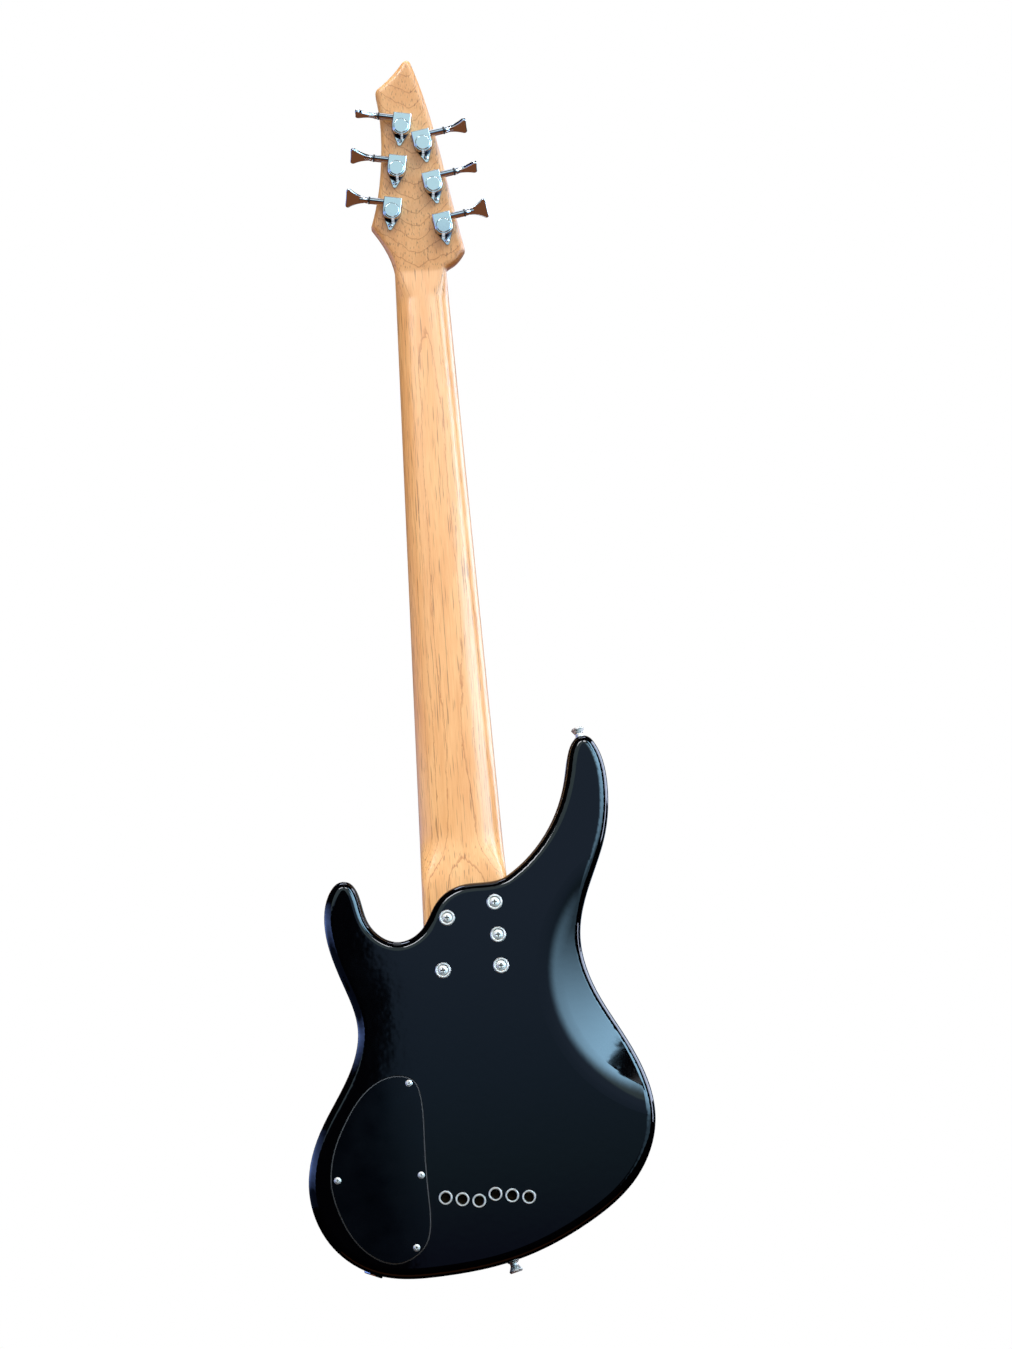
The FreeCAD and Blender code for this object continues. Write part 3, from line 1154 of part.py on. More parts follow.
def make_pickups():
    """Two pickups: covers, coils, magnets and screws."""
    covers = []
    coils = []
    magnets = []
    screws = []
    top = BODY_FRONT - PICKUP_RISE
    inner_top = top + PICKUP_WALL
    for reach in PICKUP_REACHES:
        centre = V(0, 0, -reach)
        shell = rounded_box(PICKUP_HALF_LENGTH, PICKUP_HALF_WIDTH, PICKUP_CORNER, centre, top,
                            top + PICKUP_COVER_HEIGHT)
        rim = [edge for edge in shell.Edges if abs(middle(edge).y - top) < SEAT_GAP]
        shell = shell.makeFillet(PICKUP_WALL, rim)
        cuts = [rounded_box(PICKUP_HALF_LENGTH - PICKUP_WALL, PICKUP_HALF_WIDTH - PICKUP_WALL,
                            PICKUP_CORNER - PICKUP_WALL, centre, inner_top,
                            top + PICKUP_COVER_HEIGHT + OVERRUN)]
        for x, z in pickup_screw_places(reach):
            cuts.append(rod(PICKUP_SCREW_RADIUS + SEAT_GAP, V(x, top - OVERRUN, z),
                            V(x, inner_top + OVERRUN, z)))
            end = BODY_FRONT + PICKUP_ROUT_DEPTH + PICKUP_SCREW_BITE
            shank = rod(PICKUP_SCREW_RADIUS, V(x, top, z), V(x, end, z))
            head = rod(PICKUP_SCREW_HEAD_RADIUS, V(x, top - PICKUP_SCREW_HEAD_HEIGHT, z), V(x, top, z))
            slot = cross_slot(V(x, top - PICKUP_SCREW_HEAD_HEIGHT, z), AXIS_Y * -1, AXIS_X, SMALL_SLOT_SHARE)
            screws.append(shank.fuse(head).removeSplitter().cut(slot))
        covers.append(shell.cut(cuts))
        for side in (-1, 1):
            middle_z = V(0, 0, -reach + side * COIL_OFFSET)
            coil = rounded_box(COIL_HALF_LENGTH, COIL_HALF_WIDTH, COIL_CORNER, middle_z, inner_top,
                               inner_top + COIL_DEPTH)
            half = COIL_HALF_LENGTH - COIL_HALF_WIDTH
            slot = box(V(-half, inner_top - OVERRUN, middle_z.z - MAGNET_HALF_WIDTH - SEAT_GAP),
                       V(half, inner_top + COIL_DEPTH - MAGNET_WALL,
                         middle_z.z + MAGNET_HALF_WIDTH + SEAT_GAP))
            coils.append(coil.cut(slot))
            magnets.append(box(V(-half + SEAT_GAP, inner_top, middle_z.z - MAGNET_HALF_WIDTH),
                               V(half - SEAT_GAP, inner_top + COIL_DEPTH - MAGNET_WALL,
                                 middle_z.z + MAGNET_HALF_WIDTH)))
    return covers, group(coils), group(magnets), group(screws)


def make_control_cover():
    """Flush cover of the control cavity and its screws."""
    lift = BODY_BACK - COVER_THICK
    cover = cover_face(COVER_WIDTH - 2 * COVER_GAP, COVER_LENGTH - 2 * COVER_GAP,
                       lift).extrude(AXIS_Y * COVER_THICK)
    outer = [edge for edge in cover.Edges if abs(middle(edge).y - BODY_BACK) < SEAT_GAP]
    cover = cover.makeChamfer(COVER_EDGE, outer)
    screws = []
    cuts = []
    for shares in COVER_SCREW_SHARES:
        place = cover_screw_place(shares)
        cuts.append(rod(COVER_SCREW_RADIUS + SEAT_GAP, place.sub(AXIS_Y * OVERRUN),
                        place.add(AXIS_Y * OVERRUN)))
        top = place.add(AXIS_Y * COVER_SCREW_HEAD_HEIGHT)
        shank = rod(COVER_SCREW_RADIUS, place.sub(AXIS_Y * COVER_SCREW_LENGTH), place)
        head = lathe([(0, 0), (COVER_SCREW_HEAD_RADIUS, 0),
                      (COVER_SCREW_HEAD_RADIUS * HALF, COVER_SCREW_HEAD_HEIGHT),
                      (0, COVER_SCREW_HEAD_HEIGHT)], place, AXIS_Y)
        slot = cross_slot(top, AXIS_Y, AXIS_X, SMALL_SLOT_SHARE)
        screws.append(shank.fuse(head).removeSplitter().cut(slot))
    return cover.cut(cuts), group(screws)


def make_controls():
    """Four potentiometers with their nuts, and a knob on its shaft for each."""
    pots = []
    nuts = []
    knobs = []
    for shares in CONTROL_SHARES:
        x, z = cavity_place(shares)
        can = rod(POT_RADIUS, V(x, CAVITY_FLOOR, z), V(x, CAVITY_FLOOR + POT_DEPTH, z))
        bushing = rod(BUSHING_RADIUS, V(x, BODY_FRONT - BUSHING_RISE, z), V(x, CAVITY_FLOOR, z))
        bore = rod(SHAFT_RADIUS + RUNNING_GAP, V(x, BODY_FRONT - BUSHING_RISE - OVERRUN, z),
                   V(x, CAVITY_FLOOR + SHAFT_END_DEPTH + MOVING_GAP, z))
        pots.append(can.fuse(bushing).removeSplitter().cut(bore))
        nut = rod(POT_NUT_RADIUS, V(x, BODY_FRONT - POT_NUT_HEIGHT, z), V(x, BODY_FRONT, z))
        nuts.append(nut.cut(rod(BUSHING_RADIUS + SEAT_GAP, V(x, BODY_FRONT - OVERRUN, z),
                                V(x, BODY_FRONT + OVERRUN, z))))
        shaft = rod(SHAFT_RADIUS, V(x, BODY_FRONT - SHAFT_RISE, z),
                    V(x, CAVITY_FLOOR + SHAFT_END_DEPTH, z))
        top = BODY_FRONT - KNOB_RISE
        knob = rod(KNOB_RADIUS, V(x, top, z), V(x, BODY_FRONT - KNOB_GAP, z))
        rim = [edge for edge in knob.Edges if abs(middle(edge).y - top) < SEAT_GAP]
        knob = knob.makeFillet(KNOB_EDGE_ROUND, rim)
        mark = box(V(x - KNOB_MARK_WIDTH / 2, top - OVERRUN, z + KNOB_RADIUS - KNOB_MARK_LENGTH),
                   V(x + KNOB_MARK_WIDTH / 2, top + KNOB_MARK_DEPTH, z + KNOB_RADIUS + OVERRUN))
        recess = rod(KNOB_RECESS_RADIUS, V(x, BODY_FRONT - KNOB_RECESS_RISE, z), V(x, BODY_FRONT, z))
        seat = rod(SHAFT_RADIUS + SEAT_GAP, V(x, BODY_FRONT - SHAFT_RISE, z), V(x, BODY_FRONT, z))
        knobs.append(group([knob.cut([mark, recess, seat]), shaft]))
    return group(pots), group(nuts), knobs


def make_electronics():
    """Preamp board, battery, and the leads between pickups, jack and board."""
    x, z = cavity_place(BOARD_CORNER_SHARES)
    board = box(V(x, CAVITY_FLOOR, z),
                V(x + BOARD_SIDES[0], CAVITY_FLOOR + CIRCUIT_BOARD_THICK, z + BOARD_SIDES[1]))
    x, z = cavity_place(BATTERY_CORNER_SHARES)
    battery = box(V(x, CAVITY_FLOOR, z),
                  V(x + BATTERY_SIDES[0], CAVITY_FLOOR + BATTERY_THICK, z + BATTERY_SIDES[1]))
    leads = []
    floor = CAVITY_FLOOR + CIRCUIT_BOARD_THICK
    coil_floor = BODY_FRONT - PICKUP_RISE + PICKUP_WALL + COIL_DEPTH
    for number, reach in enumerate(PICKUP_REACHES):
        start = PICKUP_LEAD_STARTS[number]
        hole = PICKUP_HOLE_STARTS[number]
        out_x, out_z = cavity_place(PICKUP_HOLE_END_SHARES[number])
        end_x, end_z = cavity_place(PICKUP_LEAD_END_SHARES[number])
        path = [V(start[0], coil_floor, -reach - start[1]),
                V(start[0], PICKUP_LEAD_DEPTH, -reach - start[1]),
                V(hole[0], PICKUP_LEAD_DEPTH, -reach - hole[1]),
                V(out_x, PICKUP_LEAD_DEPTH, out_z),
                V(end_x, PICKUP_LEAD_DEPTH, end_z),
                V(end_x, floor, end_z)]
        leads.append(tube(rounded_path(path, [LEAD_BEND] * (len(path) - 2)), LEAD_RADIUS))
    point, out = edge_place(JACK_PLACE_SHARES)
    start = point.sub(out * (JACK_SEAT_DEPTH + JACK_BARREL_LENGTH))
    step = start.sub(out * JACK_LEAD_STEP)
    end_x, end_z = cavity_place(JACK_LEAD_END_SHARES)
    path = [start, step, V(step.x, JACK_LEAD_DEPTH, step.z),
            V(end_x, JACK_LEAD_DEPTH, end_z), V(end_x, floor, end_z)]
    leads.append(tube(rounded_path(path, [LEAD_BEND] * (len(path) - 2)), LEAD_RADIUS))
    return board, battery, group(leads)


def make_jack():
    """Output jack with its round flange, open at the lower edge of the body."""
    point, out = edge_place(JACK_PLACE_SHARES)
    seat = point.sub(out * JACK_SEAT_DEPTH)
    top = JACK_FLANGE_HEIGHT
    return lathe([(0, -JACK_BARREL_LENGTH), (JACK_BARREL_RADIUS, -JACK_BARREL_LENGTH),
                  (JACK_BARREL_RADIUS, 0), (JACK_FLANGE_RADIUS, 0),
                  (JACK_FLANGE_RADIUS, top - JACK_FLANGE_EDGE),
                  (JACK_FLANGE_RADIUS - JACK_FLANGE_EDGE, top), (JACK_BORE_RADIUS, top),
                  (JACK_BORE_RADIUS, top - JACK_BORE_DEPTH), (0, top - JACK_BORE_DEPTH)], seat, out)


def make_strap_buttons():
    """Two strap buttons and the screws that hold them."""
    buttons = []
    screws = []
    hole = STRAP_SCREW_RADIUS + SEAT_GAP
    sink = STRAP_RIM_HEIGHT - STRAP_SCREW_HEAD_HEIGHT
    for shares in (STRAP_HORN_SHARES, STRAP_TAIL_SHARES):
        point, out = edge_place(shares)
        seat = point.sub(out * STRAP_SEAT_DEPTH)
        buttons.append(lathe([(hole, 0), (STRAP_BASE_RADIUS, 0),
                              (STRAP_BASE_RADIUS, STRAP_BASE_HEIGHT),
                              (STRAP_WAIST_RADIUS, STRAP_BASE_HEIGHT + STRAP_EDGE),
                              (STRAP_WAIST_RADIUS, STRAP_WAIST_HEIGHT),
                              (STRAP_HEAD_RADIUS, STRAP_HEAD_HEIGHT),
                              (STRAP_HEAD_RADIUS - STRAP_EDGE, STRAP_RIM_HEIGHT),
                              (STRAP_SCREW_HEAD_RADIUS + SEAT_GAP, STRAP_RIM_HEIGHT),
                              (hole, sink)], seat, out))
        screw = lathe([(0, -STRAP_SCREW_LENGTH + OVERRUN),
                       (STRAP_SCREW_RADIUS, -STRAP_SCREW_LENGTH + 2 * OVERRUN),
                       (STRAP_SCREW_RADIUS, sink), (STRAP_SCREW_HEAD_RADIUS, STRAP_RIM_HEIGHT),
                       (0, STRAP_RIM_HEIGHT)], seat, out)
        screws.append(screw.cut(cross_slot(seat.add(out * STRAP_RIM_HEIGHT), out, AXIS_Y)))
    return group(buttons), group(screws)


def tuner_slab(low, high):
    """D-shaped slab of a tuner between two heights above the headstock's back."""
    half = TUNER_HALF_WIDTH
    arc = Part.Arc(V(-half, 0, low), V(0, -half, low), V(half, 0, low)).toShape()
    rest = Part.makePolygon([V(half, 0, low), V(half, TUNER_TOP, low), V(-half, TUNER_TOP, low),
                             V(-half, 0, low)])
    return Part.Face(Part.Wire([arc] + rest.Edges)).extrude(AXIS_Z * (high - low))


def tuner_plate():
    """Base plate of a tuner with the lug for its screw, drawn in tuner coordinates."""
    root_x = TUNER_HALF_WIDTH * PLATE_LUG_ROOT_SHARES[0]
    root_y = -TUNER_HALF_WIDTH * PLATE_LUG_ROOT_SHARES[1]
    tip = -PLATE_LUG_REACH + PLATE_LUG_RADIUS
    lug = polygon_face([V(-root_x, root_y, 0), V(-PLATE_LUG_RADIUS, tip, 0),
                        V(PLATE_LUG_RADIUS, tip, 0), V(root_x, root_y, 0)])
    lug = lug.extrude(AXIS_Z * TUNER_PLATE_THICK)
    end = rod(PLATE_LUG_RADIUS, V(0, tip, 0), V(0, tip, TUNER_PLATE_THICK))
    plate = tuner_slab(0, TUNER_PLATE_THICK).fuse([lug, end]).removeSplitter()
    return plate.cut([rod(POST_STEM_RADIUS + RUNNING_GAP, V(0, 0, -OVERRUN), V(0, 0, OVERRUN)),
                      rod(TUNER_SCREW_RADIUS + SEAT_GAP, V(0, -TUNER_SCREW_REACH, -OVERRUN),
                          V(0, -TUNER_SCREW_REACH, OVERRUN))])


def tuner_housing():
    """Housing with its barrel and round cap, hollow for worm and wheel."""
    shell = tuner_slab(TUNER_PLATE_THICK, HOUSING_TOP)
    rim = [edge for edge in shell.Edges if abs(middle(edge).z - HOUSING_TOP) < SEAT_GAP]
    shell = shell.makeFillet(HOUSING_EDGE_ROUND, rim)
    cap = rod(CAP_RADIUS, V(0, 0, HOUSING_TOP - CAP_EDGE), V(0, 0, HOUSING_TOP + CAP_HEIGHT))
    crown = [edge for edge in cap.Edges if abs(middle(edge).z - HOUSING_TOP - CAP_HEIGHT) < SEAT_GAP]
    cap = cap.makeFillet(CAP_EDGE, crown)
    axis = V(0, GEAR_CENTRES, GEAR_HEIGHT)
    barrel = rod(BARREL_RADIUS, axis, axis.add(AXIS_X * BARREL_END))
    shell = shell.fuse([cap, barrel]).removeSplitter()
    wheel_room = rod(WHEEL_CHAMBER_RADIUS, V(0, 0, 0), V(0, 0, WHEEL_CHAMBER_TOP))
    worm_room = rod(WORM_CHAMBER_RADIUS, axis.sub(AXIS_X * WORM_CHAMBER_HALF_LENGTH),
                    axis.add(AXIS_X * WORM_CHAMBER_HALF_LENGTH))
    bore = rod(KEY_SHAFT_RADIUS + RUNNING_GAP, axis, axis.add(AXIS_X * (BARREL_END + OVERRUN)))
    return shell.cut([wheel_room, worm_room, bore])


def tuner_washer():
    """Washer between a barrel and its key."""
    start = V(BARREL_END, GEAR_CENTRES, GEAR_HEIGHT)
    ring = rod(WASHER_RADIUS, start, start.add(AXIS_X * WASHER_THICK))
    return ring.cut(rod(KEY_SHAFT_RADIUS + RUNNING_GAP, start.sub(AXIS_X * OVERRUN),
                        start.add(AXIS_X * OVERRUN)))


def tuner_screw():
    """Screw through the lug of a tuner's base plate."""
    place = V(0, -TUNER_SCREW_REACH, TUNER_PLATE_THICK)
    screw = lathe([(0, -TUNER_SCREW_LENGTH), (TUNER_SCREW_RADIUS, -TUNER_SCREW_LENGTH + TIP_ROOM),
                   (TUNER_SCREW_RADIUS, 0), (TUNER_SCREW_HEAD_RADIUS, 0),
                   (TUNER_SCREW_HEAD_RADIUS * HALF, TUNER_SCREW_HEAD_HEIGHT),
                   (0, TUNER_SCREW_HEAD_HEIGHT)], place, AXIS_Z)
    top = place.add(AXIS_Z * TUNER_SCREW_HEAD_HEIGHT)
    return screw.cut(cross_slot(top, AXIS_Z, AXIS_X, SMALL_SLOT_SHARE))


def tuner_bushing():
    """Threaded bushing around a post, seated on the headstock's face."""
    inner = POST_RADIUS + RUNNING_GAP
    deep_end = -HEAD_THICK + TUNER_BUSHING_LENGTH
    lip = -HEAD_THICK - TUNER_BUSHING_FLANGE_HEIGHT
    return lathe([(inner, deep_end), (TUNER_BUSHING_RADIUS, deep_end),
                  (TUNER_BUSHING_RADIUS, -HEAD_THICK), (TUNER_BUSHING_FLANGE_RADIUS, -HEAD_THICK),
                  (TUNER_BUSHING_FLANGE_RADIUS - TUNER_BUSHING_EDGE, lip), (inner, lip)],
                 V(0, 0, 0), AXIS_Z)


def worm_wheel():
    """Toothed wheel on the post, with a gap between teeth facing the worm."""
    points = []
    step = FULL_TURN / WHEEL_TEETH
    for number in range(WHEEL_TEETH):
        angle = math.radians(QUARTER_TURN + (number + HALF) * step)
        out = V(math.cos(angle), math.sin(angle), 0)
        side = V(-out.y, out.x, 0)
        for radius, width in ((WHEEL_ROOT_RADIUS, -WHEEL_ROOT_WIDTH),
                              (WHEEL_OUTER_RADIUS, -WHEEL_TIP_WIDTH),
                              (WHEEL_OUTER_RADIUS, WHEEL_TIP_WIDTH),
                              (WHEEL_ROOT_RADIUS, WHEEL_ROOT_WIDTH)):
            points.append(out * radius + side * (width / 2) + AXIS_Z * (GEAR_HEIGHT - WHEEL_FACE / 2))
    return polygon_face(points).extrude(AXIS_Z * WHEEL_FACE)


def tuner_post():
    """Post with its worm wheel, slotted at the string end."""
    foot = -HEAD_THICK - POST_RISE
    stem = lathe([(0, foot), (POST_RADIUS, foot), (POST_RADIUS, -POST_SHOULDER_DROP),
                  (POST_STEM_RADIUS, -POST_SHOULDER_DROP),
                  (POST_STEM_RADIUS, POST_STEM_TOP), (0, POST_STEM_TOP)], V(0, 0, 0), AXIS_Z)
    slot = box(V(-POST_SLOT_WIDTH / 2, -POST_RADIUS - OVERRUN, foot - OVERRUN),
               V(POST_SLOT_WIDTH / 2, POST_RADIUS + OVERRUN, foot + POST_SLOT_DEPTH))
    return stem.fuse(worm_wheel()).removeSplitter().cut(slot)


def key_paddle(angle):
    """Fishtail paddle of a key, turned about the key's axis."""
    root = BARREL_END + WASHER_THICK + MOVING_GAP + KEY_PADDLE_START
    end = root + KEY_PADDLE_LENGTH
    flare = root + KEY_PADDLE_LENGTH * KEY_PADDLE_FLARE_SHARE
    waist = KEY_PADDLE_HALF_WIDTH * KEY_PADDLE_WAIST_SHARE
    sides = []
    for side in (1, -1):
        points = [V(root, side * KEY_PADDLE_HALF_ROOT, 0), V(flare, side * waist, 0),
                  V(end, side * KEY_PADDLE_HALF_WIDTH, 0)]
        sides.append(Part.Arc(points[0], points[1], points[2]).toShape())
    tail = Part.Arc(V(end, KEY_PADDLE_HALF_WIDTH, 0), V(end - KEY_PADDLE_NOTCH, 0, 0),
                    V(end, -KEY_PADDLE_HALF_WIDTH, 0)).toShape()
    front = Part.makeLine(V(root, KEY_PADDLE_HALF_ROOT, 0), V(root, -KEY_PADDLE_HALF_ROOT, 0))
    paddle = Part.Face(Part.Wire([front, sides[1], tail, sides[0]])).extrude(AXIS_Z * KEY_PADDLE_THICK)
    paddle.translate(AXIS_Z * (-KEY_PADDLE_THICK / 2))
    tips = [edge for edge in paddle.Edges
            if abs(edge.tangentAt(edge.FirstParameter).z) > HALF and middle(edge).x > flare]
    paddle = paddle.makeFillet(KEY_PADDLE_CORNER, tips)
    rim = [edge for edge in paddle.Edges
           if abs(abs(middle(edge).z) - KEY_PADDLE_THICK / 2) < SEAT_GAP
           and middle(edge).x > root + SEAT_GAP]
    paddle = paddle.makeFillet(KEY_PADDLE_EDGE, rim)
    paddle.rotate(V(0, 0, 0), AXIS_X, angle)
    return paddle


def tuner_worm():
    """Worm thread along the key's shaft."""
    sink = WORM_ROOT_RADIUS - WORM_SINK
    helix = Part.makeHelix(WORM_LEAD, WORM_LEAD * WORM_TURNS, WORM_OUTER_RADIUS)
    profile = Part.makePolygon([V(sink, 0, -WORM_BASE_WIDTH / 2),
                                V(WORM_OUTER_RADIUS, 0, -WORM_TIP_WIDTH / 2),
                                V(WORM_OUTER_RADIUS, 0, WORM_TIP_WIDTH / 2),
                                V(sink, 0, WORM_BASE_WIDTH / 2),
                                V(sink, 0, -WORM_BASE_WIDTH / 2)])
    thread = Part.Wire(helix).makePipeShell([profile], True, True)
    thread.translate(AXIS_Z * (-WORM_LEAD * (WORM_TURNS / 2 - QUARTER_TURN / FULL_TURN)))
    thread.rotate(V(0, 0, 0), AXIS_Y, QUARTER_TURN)
    return thread


def tuner_key(index, worm):
    """Key with its shaft and worm, turned to its rest angle."""
    start = BARREL_END + WASHER_THICK + MOVING_GAP
    core = rod(WORM_ROOT_RADIUS, AXIS_X * (-WORM_LEAD * WORM_TURNS / 2),
               AXIS_X * (WORM_LEAD * (WORM_TURNS / 2 + 1)))
    shaft_end = start + KEY_NECK_LENGTH + KEY_PADDLE_START
    shaft = lathe([(0, -KEY_SHAFT_BACK), (KEY_SHAFT_RADIUS, -KEY_SHAFT_BACK),
                   (KEY_SHAFT_RADIUS, start), (KEY_COLLAR_RADIUS, start),
                   (KEY_COLLAR_RADIUS, start + KEY_COLLAR_LENGTH),
                   (KEY_NECK_RADIUS, start + KEY_NECK_LENGTH),
                   (KEY_NECK_RADIUS, shaft_end), (0, shaft_end)], V(0, 0, 0), AXIS_X)
    key = shaft.fuse([core, key_paddle(KEY_REST_ANGLES[index]), worm]).removeSplitter()
    key.translate(V(0, GEAR_CENTRES, GEAR_HEIGHT))
    return key


def make_all():
    """Every node by name."""
    nodes = {}
    nodes["body"] = make_body()
    nodes["neck"] = make_neck()
    nodes["fingerboard"], nodes["frets"], nodes["face_dots"], nodes["side_dots"] = make_fingerboard()
    nodes["nut"] = make_nut()
    nodes["truss_rod"], nodes["truss_rod_cover"], nodes["truss_rod_cover_screws"] = make_truss_rod()
    nodes["neck_bolts"], nodes["neck_bolt_cups"] = make_neck_bolts()
    nodes["string_ferrules"] = make_ferrules()
    nodes["strings"], nodes["string_ball_ends"] = make_strings()
    nodes["bridge_plate"], nodes["bridge_screws"], nodes["intonation_screws"] = make_bridge()
    for index in range(STRING_COUNT):
        nodes["saddle_%d" % (index + 1)] = make_saddle(index)
    covers, nodes["pickup_coils"], nodes["pickup_magnets"], nodes["pickup_screws"] = make_pickups()
    for name, cover in zip(PICKUP_NAMES, covers):
        nodes[name] = cover
    nodes["control_cover"], nodes["control_cover_screws"] = make_control_cover()
    nodes["potentiometers"], nodes["potentiometer_nuts"], knobs = make_controls()
    for name, knob in zip(CONTROL_NAMES, knobs):
        nodes[name] = knob
    nodes["preamp_board"], nodes["battery"], nodes["leads"] = make_electronics()
    nodes["output_jack"] = make_jack()
    nodes["strap_buttons"], nodes["strap_button_screws"] = make_strap_buttons()
    indexes = range(STRING_COUNT)
    nodes["tuner_plates"] = group([on_tuner(tuner_plate(), index) for index in indexes])
    nodes["tuner_housings"] = group([on_tuner(tuner_housing(), index) for index in indexes])
    nodes["tuner_washers"] = group([on_tuner(tuner_washer(), index) for index in indexes])
    nodes["tuner_screws"] = group([on_tuner(tuner_screw(), index) for index in indexes])
    nodes["tuner_bushings"] = group([on_tuner(tuner_bushing(), index) for index in indexes])
    worm = tuner_worm()
    post = tuner_post()
    for index in indexes:
        nodes["tuner_key_%d" % (index + 1)] = on_tuner(tuner_key(index, worm), index)
        nodes["tuner_post_%d" % (index + 1)] = on_tuner(post, index)
    return nodes


def main():
    """Build the instrument and write one file for each node."""
    os.makedirs("parts", exist_ok=True)
    for name, shape in make_all().items():
        print(name, len(shape.Solids), "solids", round(shape.Volume), "mm3", "valid", shape.isValid())
        shape.exportStep("parts/" + name + ".step")


if __name__ == "__main__":
    main()
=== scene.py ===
# %% [markdown]
# # A six-string bass guitar, seen from the back
#
# The CAD model holds every piece at its real size and place, so this lesson adds what
# the eye needs: a camera, light, and a finish for each surface. Blender reads the
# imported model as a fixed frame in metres. +Z runs up to the headstock, +Y is the back
# of the instrument and -X is its bass side.

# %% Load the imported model
import math

import bpy
from mathutils import Matrix, Vector


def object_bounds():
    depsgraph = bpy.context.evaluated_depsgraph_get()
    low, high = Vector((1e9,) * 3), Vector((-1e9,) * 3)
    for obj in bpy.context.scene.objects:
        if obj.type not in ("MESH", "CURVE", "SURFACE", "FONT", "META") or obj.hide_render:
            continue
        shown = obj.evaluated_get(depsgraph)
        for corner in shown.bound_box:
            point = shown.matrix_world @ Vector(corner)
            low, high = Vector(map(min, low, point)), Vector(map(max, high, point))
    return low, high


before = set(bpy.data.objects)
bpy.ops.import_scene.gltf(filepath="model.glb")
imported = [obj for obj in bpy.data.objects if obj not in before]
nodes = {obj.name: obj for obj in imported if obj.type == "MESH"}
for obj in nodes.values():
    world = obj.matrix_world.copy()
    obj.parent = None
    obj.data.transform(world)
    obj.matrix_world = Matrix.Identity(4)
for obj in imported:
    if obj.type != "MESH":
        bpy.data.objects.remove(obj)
cad_low, cad_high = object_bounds()
MM = 0.001
print("CAD nodes:", len(nodes), "size in mm:", [round(side / MM, 1) for side in cad_high - cad_low])

# %% [markdown]
# ## Camera
#
# A camera can be placed by eye, or worked out from points that are known on the object
# and in the picture. The second way was used here: the nut line, the neck bolts, the
# string ferrules and the outline give a camera 2.26 m away, a little below the middle,
# that looks up by 14 degrees. The instrument leans in the picture, which is a roll of
# the camera. The focal length in pixels becomes millimetres on a 36 mm sensor.

# %% Camera at the photograph's viewing angle
IMAGE_HEIGHT = 1349
FOCAL_PIXELS = 2400.0
SENSOR_WIDTH_MM = 36.0
AIM = Vector((-53.0, 20.0, -413.0)) * MM
CAMERA_DISTANCE = 2260.0 * MM
PITCH = math.radians(14.0)
YAW = math.radians(-2.15)
ROLL = math.radians(-4.43)

forward = Vector((math.cos(PITCH) * math.sin(YAW), -math.cos(PITCH) * math.cos(YAW), math.sin(PITCH)))
level_right = forward.cross(Vector((0, 0, 1))).normalized()
level_up = level_right.cross(forward)
right = level_right * math.cos(ROLL) + level_up * math.sin(ROLL)
up = level_up * math.cos(ROLL) - level_right * math.sin(ROLL)

lens = bpy.data.cameras.new("photo_camera")
lens.sensor_width = SENSOR_WIDTH_MM
lens.lens = FOCAL_PIXELS / IMAGE_HEIGHT * SENSOR_WIDTH_MM
camera = bpy.data.objects.new("photo_camera", lens)
bpy.context.scene.collection.objects.link(camera)
turn = Matrix((right, up, -forward)).transposed().to_4x4()
camera.matrix_world = Matrix.Translation(AIM - forward * CAMERA_DISTANCE) @ turn
bpy.context.scene.camera = camera
bpy.context.scene.view_settings.view_transform = "Standard"
print("camera at", [round(v, 3) for v in camera.location], "lens", round(lens.lens, 1), "mm")

# %% [markdown]
# ## Three small helpers
#
# Colours are written as people read them, as sRGB hex values, and Blender's shaders
# count in linear light, so one function turns the first into the second. The next fills
# a node's inputs, given by name or in the node's own order: a socket is linked, and a
# value is set. The last adds a shader node, sets its properties and fills it. A Map
# Range node in its own order reads: value, where it comes from, where it goes to. A Mix
# node for colours takes its share in input 0 and its colours in 6 and 7, and gives the
# result in output 2.

# %% Colour and node helpers
def linear(hex_colour):
    """Linear RGBA of an sRGB hex colour."""
    parts = [int(hex_colour[i:i + 2], 16) / 255 for i in (1, 3, 5)]
    return [c / 12.92 if c <= 0.04045 else ((c + 0.055) / 1.055) ** 2.4 for c in parts] + [1.0]


def fill(node, inputs):
    """Link or set a node's inputs, from a dictionary or in the node's own order."""
    pairs = inputs.items() if isinstance(inputs, dict) else enumerate(inputs)
    for key, value in pairs:
        if isinstance(value, bpy.types.NodeSocket):
            node.id_data.links.new(value, node.inputs[key])
        else:
            node.inputs[key].default_value = value


def add(tree, kind, inputs, **settings):
    """Add a node, set its properties and fill its inputs."""
    made = tree.nodes.new(kind)
    for name, value in settings.items():
        setattr(made, name, value)
    fill(made, inputs)
    return made


print("middle grey in linear light:", [round(c, 4) for c in linear("#808080")])

# %% [markdown]
# ## Backdrop
#
# The instrument is shown on plain white. The world is white where the camera, a mirror
# or glass looks at it, and a calmer light where it lights the surfaces: stronger and
# nearly white from above, weaker and warm from below, so that faces that look down fall
# into a warm shade. The Light Path node tells the two cases apart.

# %% World
HORIZON_BAND = (-0.5, 0.5)
LIGHT_FROM_BELOW_AND_ABOVE = (0.36, 0.62)
TINT_FROM_BELOW = "#eeb070"
TINT_FROM_ABOVE = "#fbf7f2"

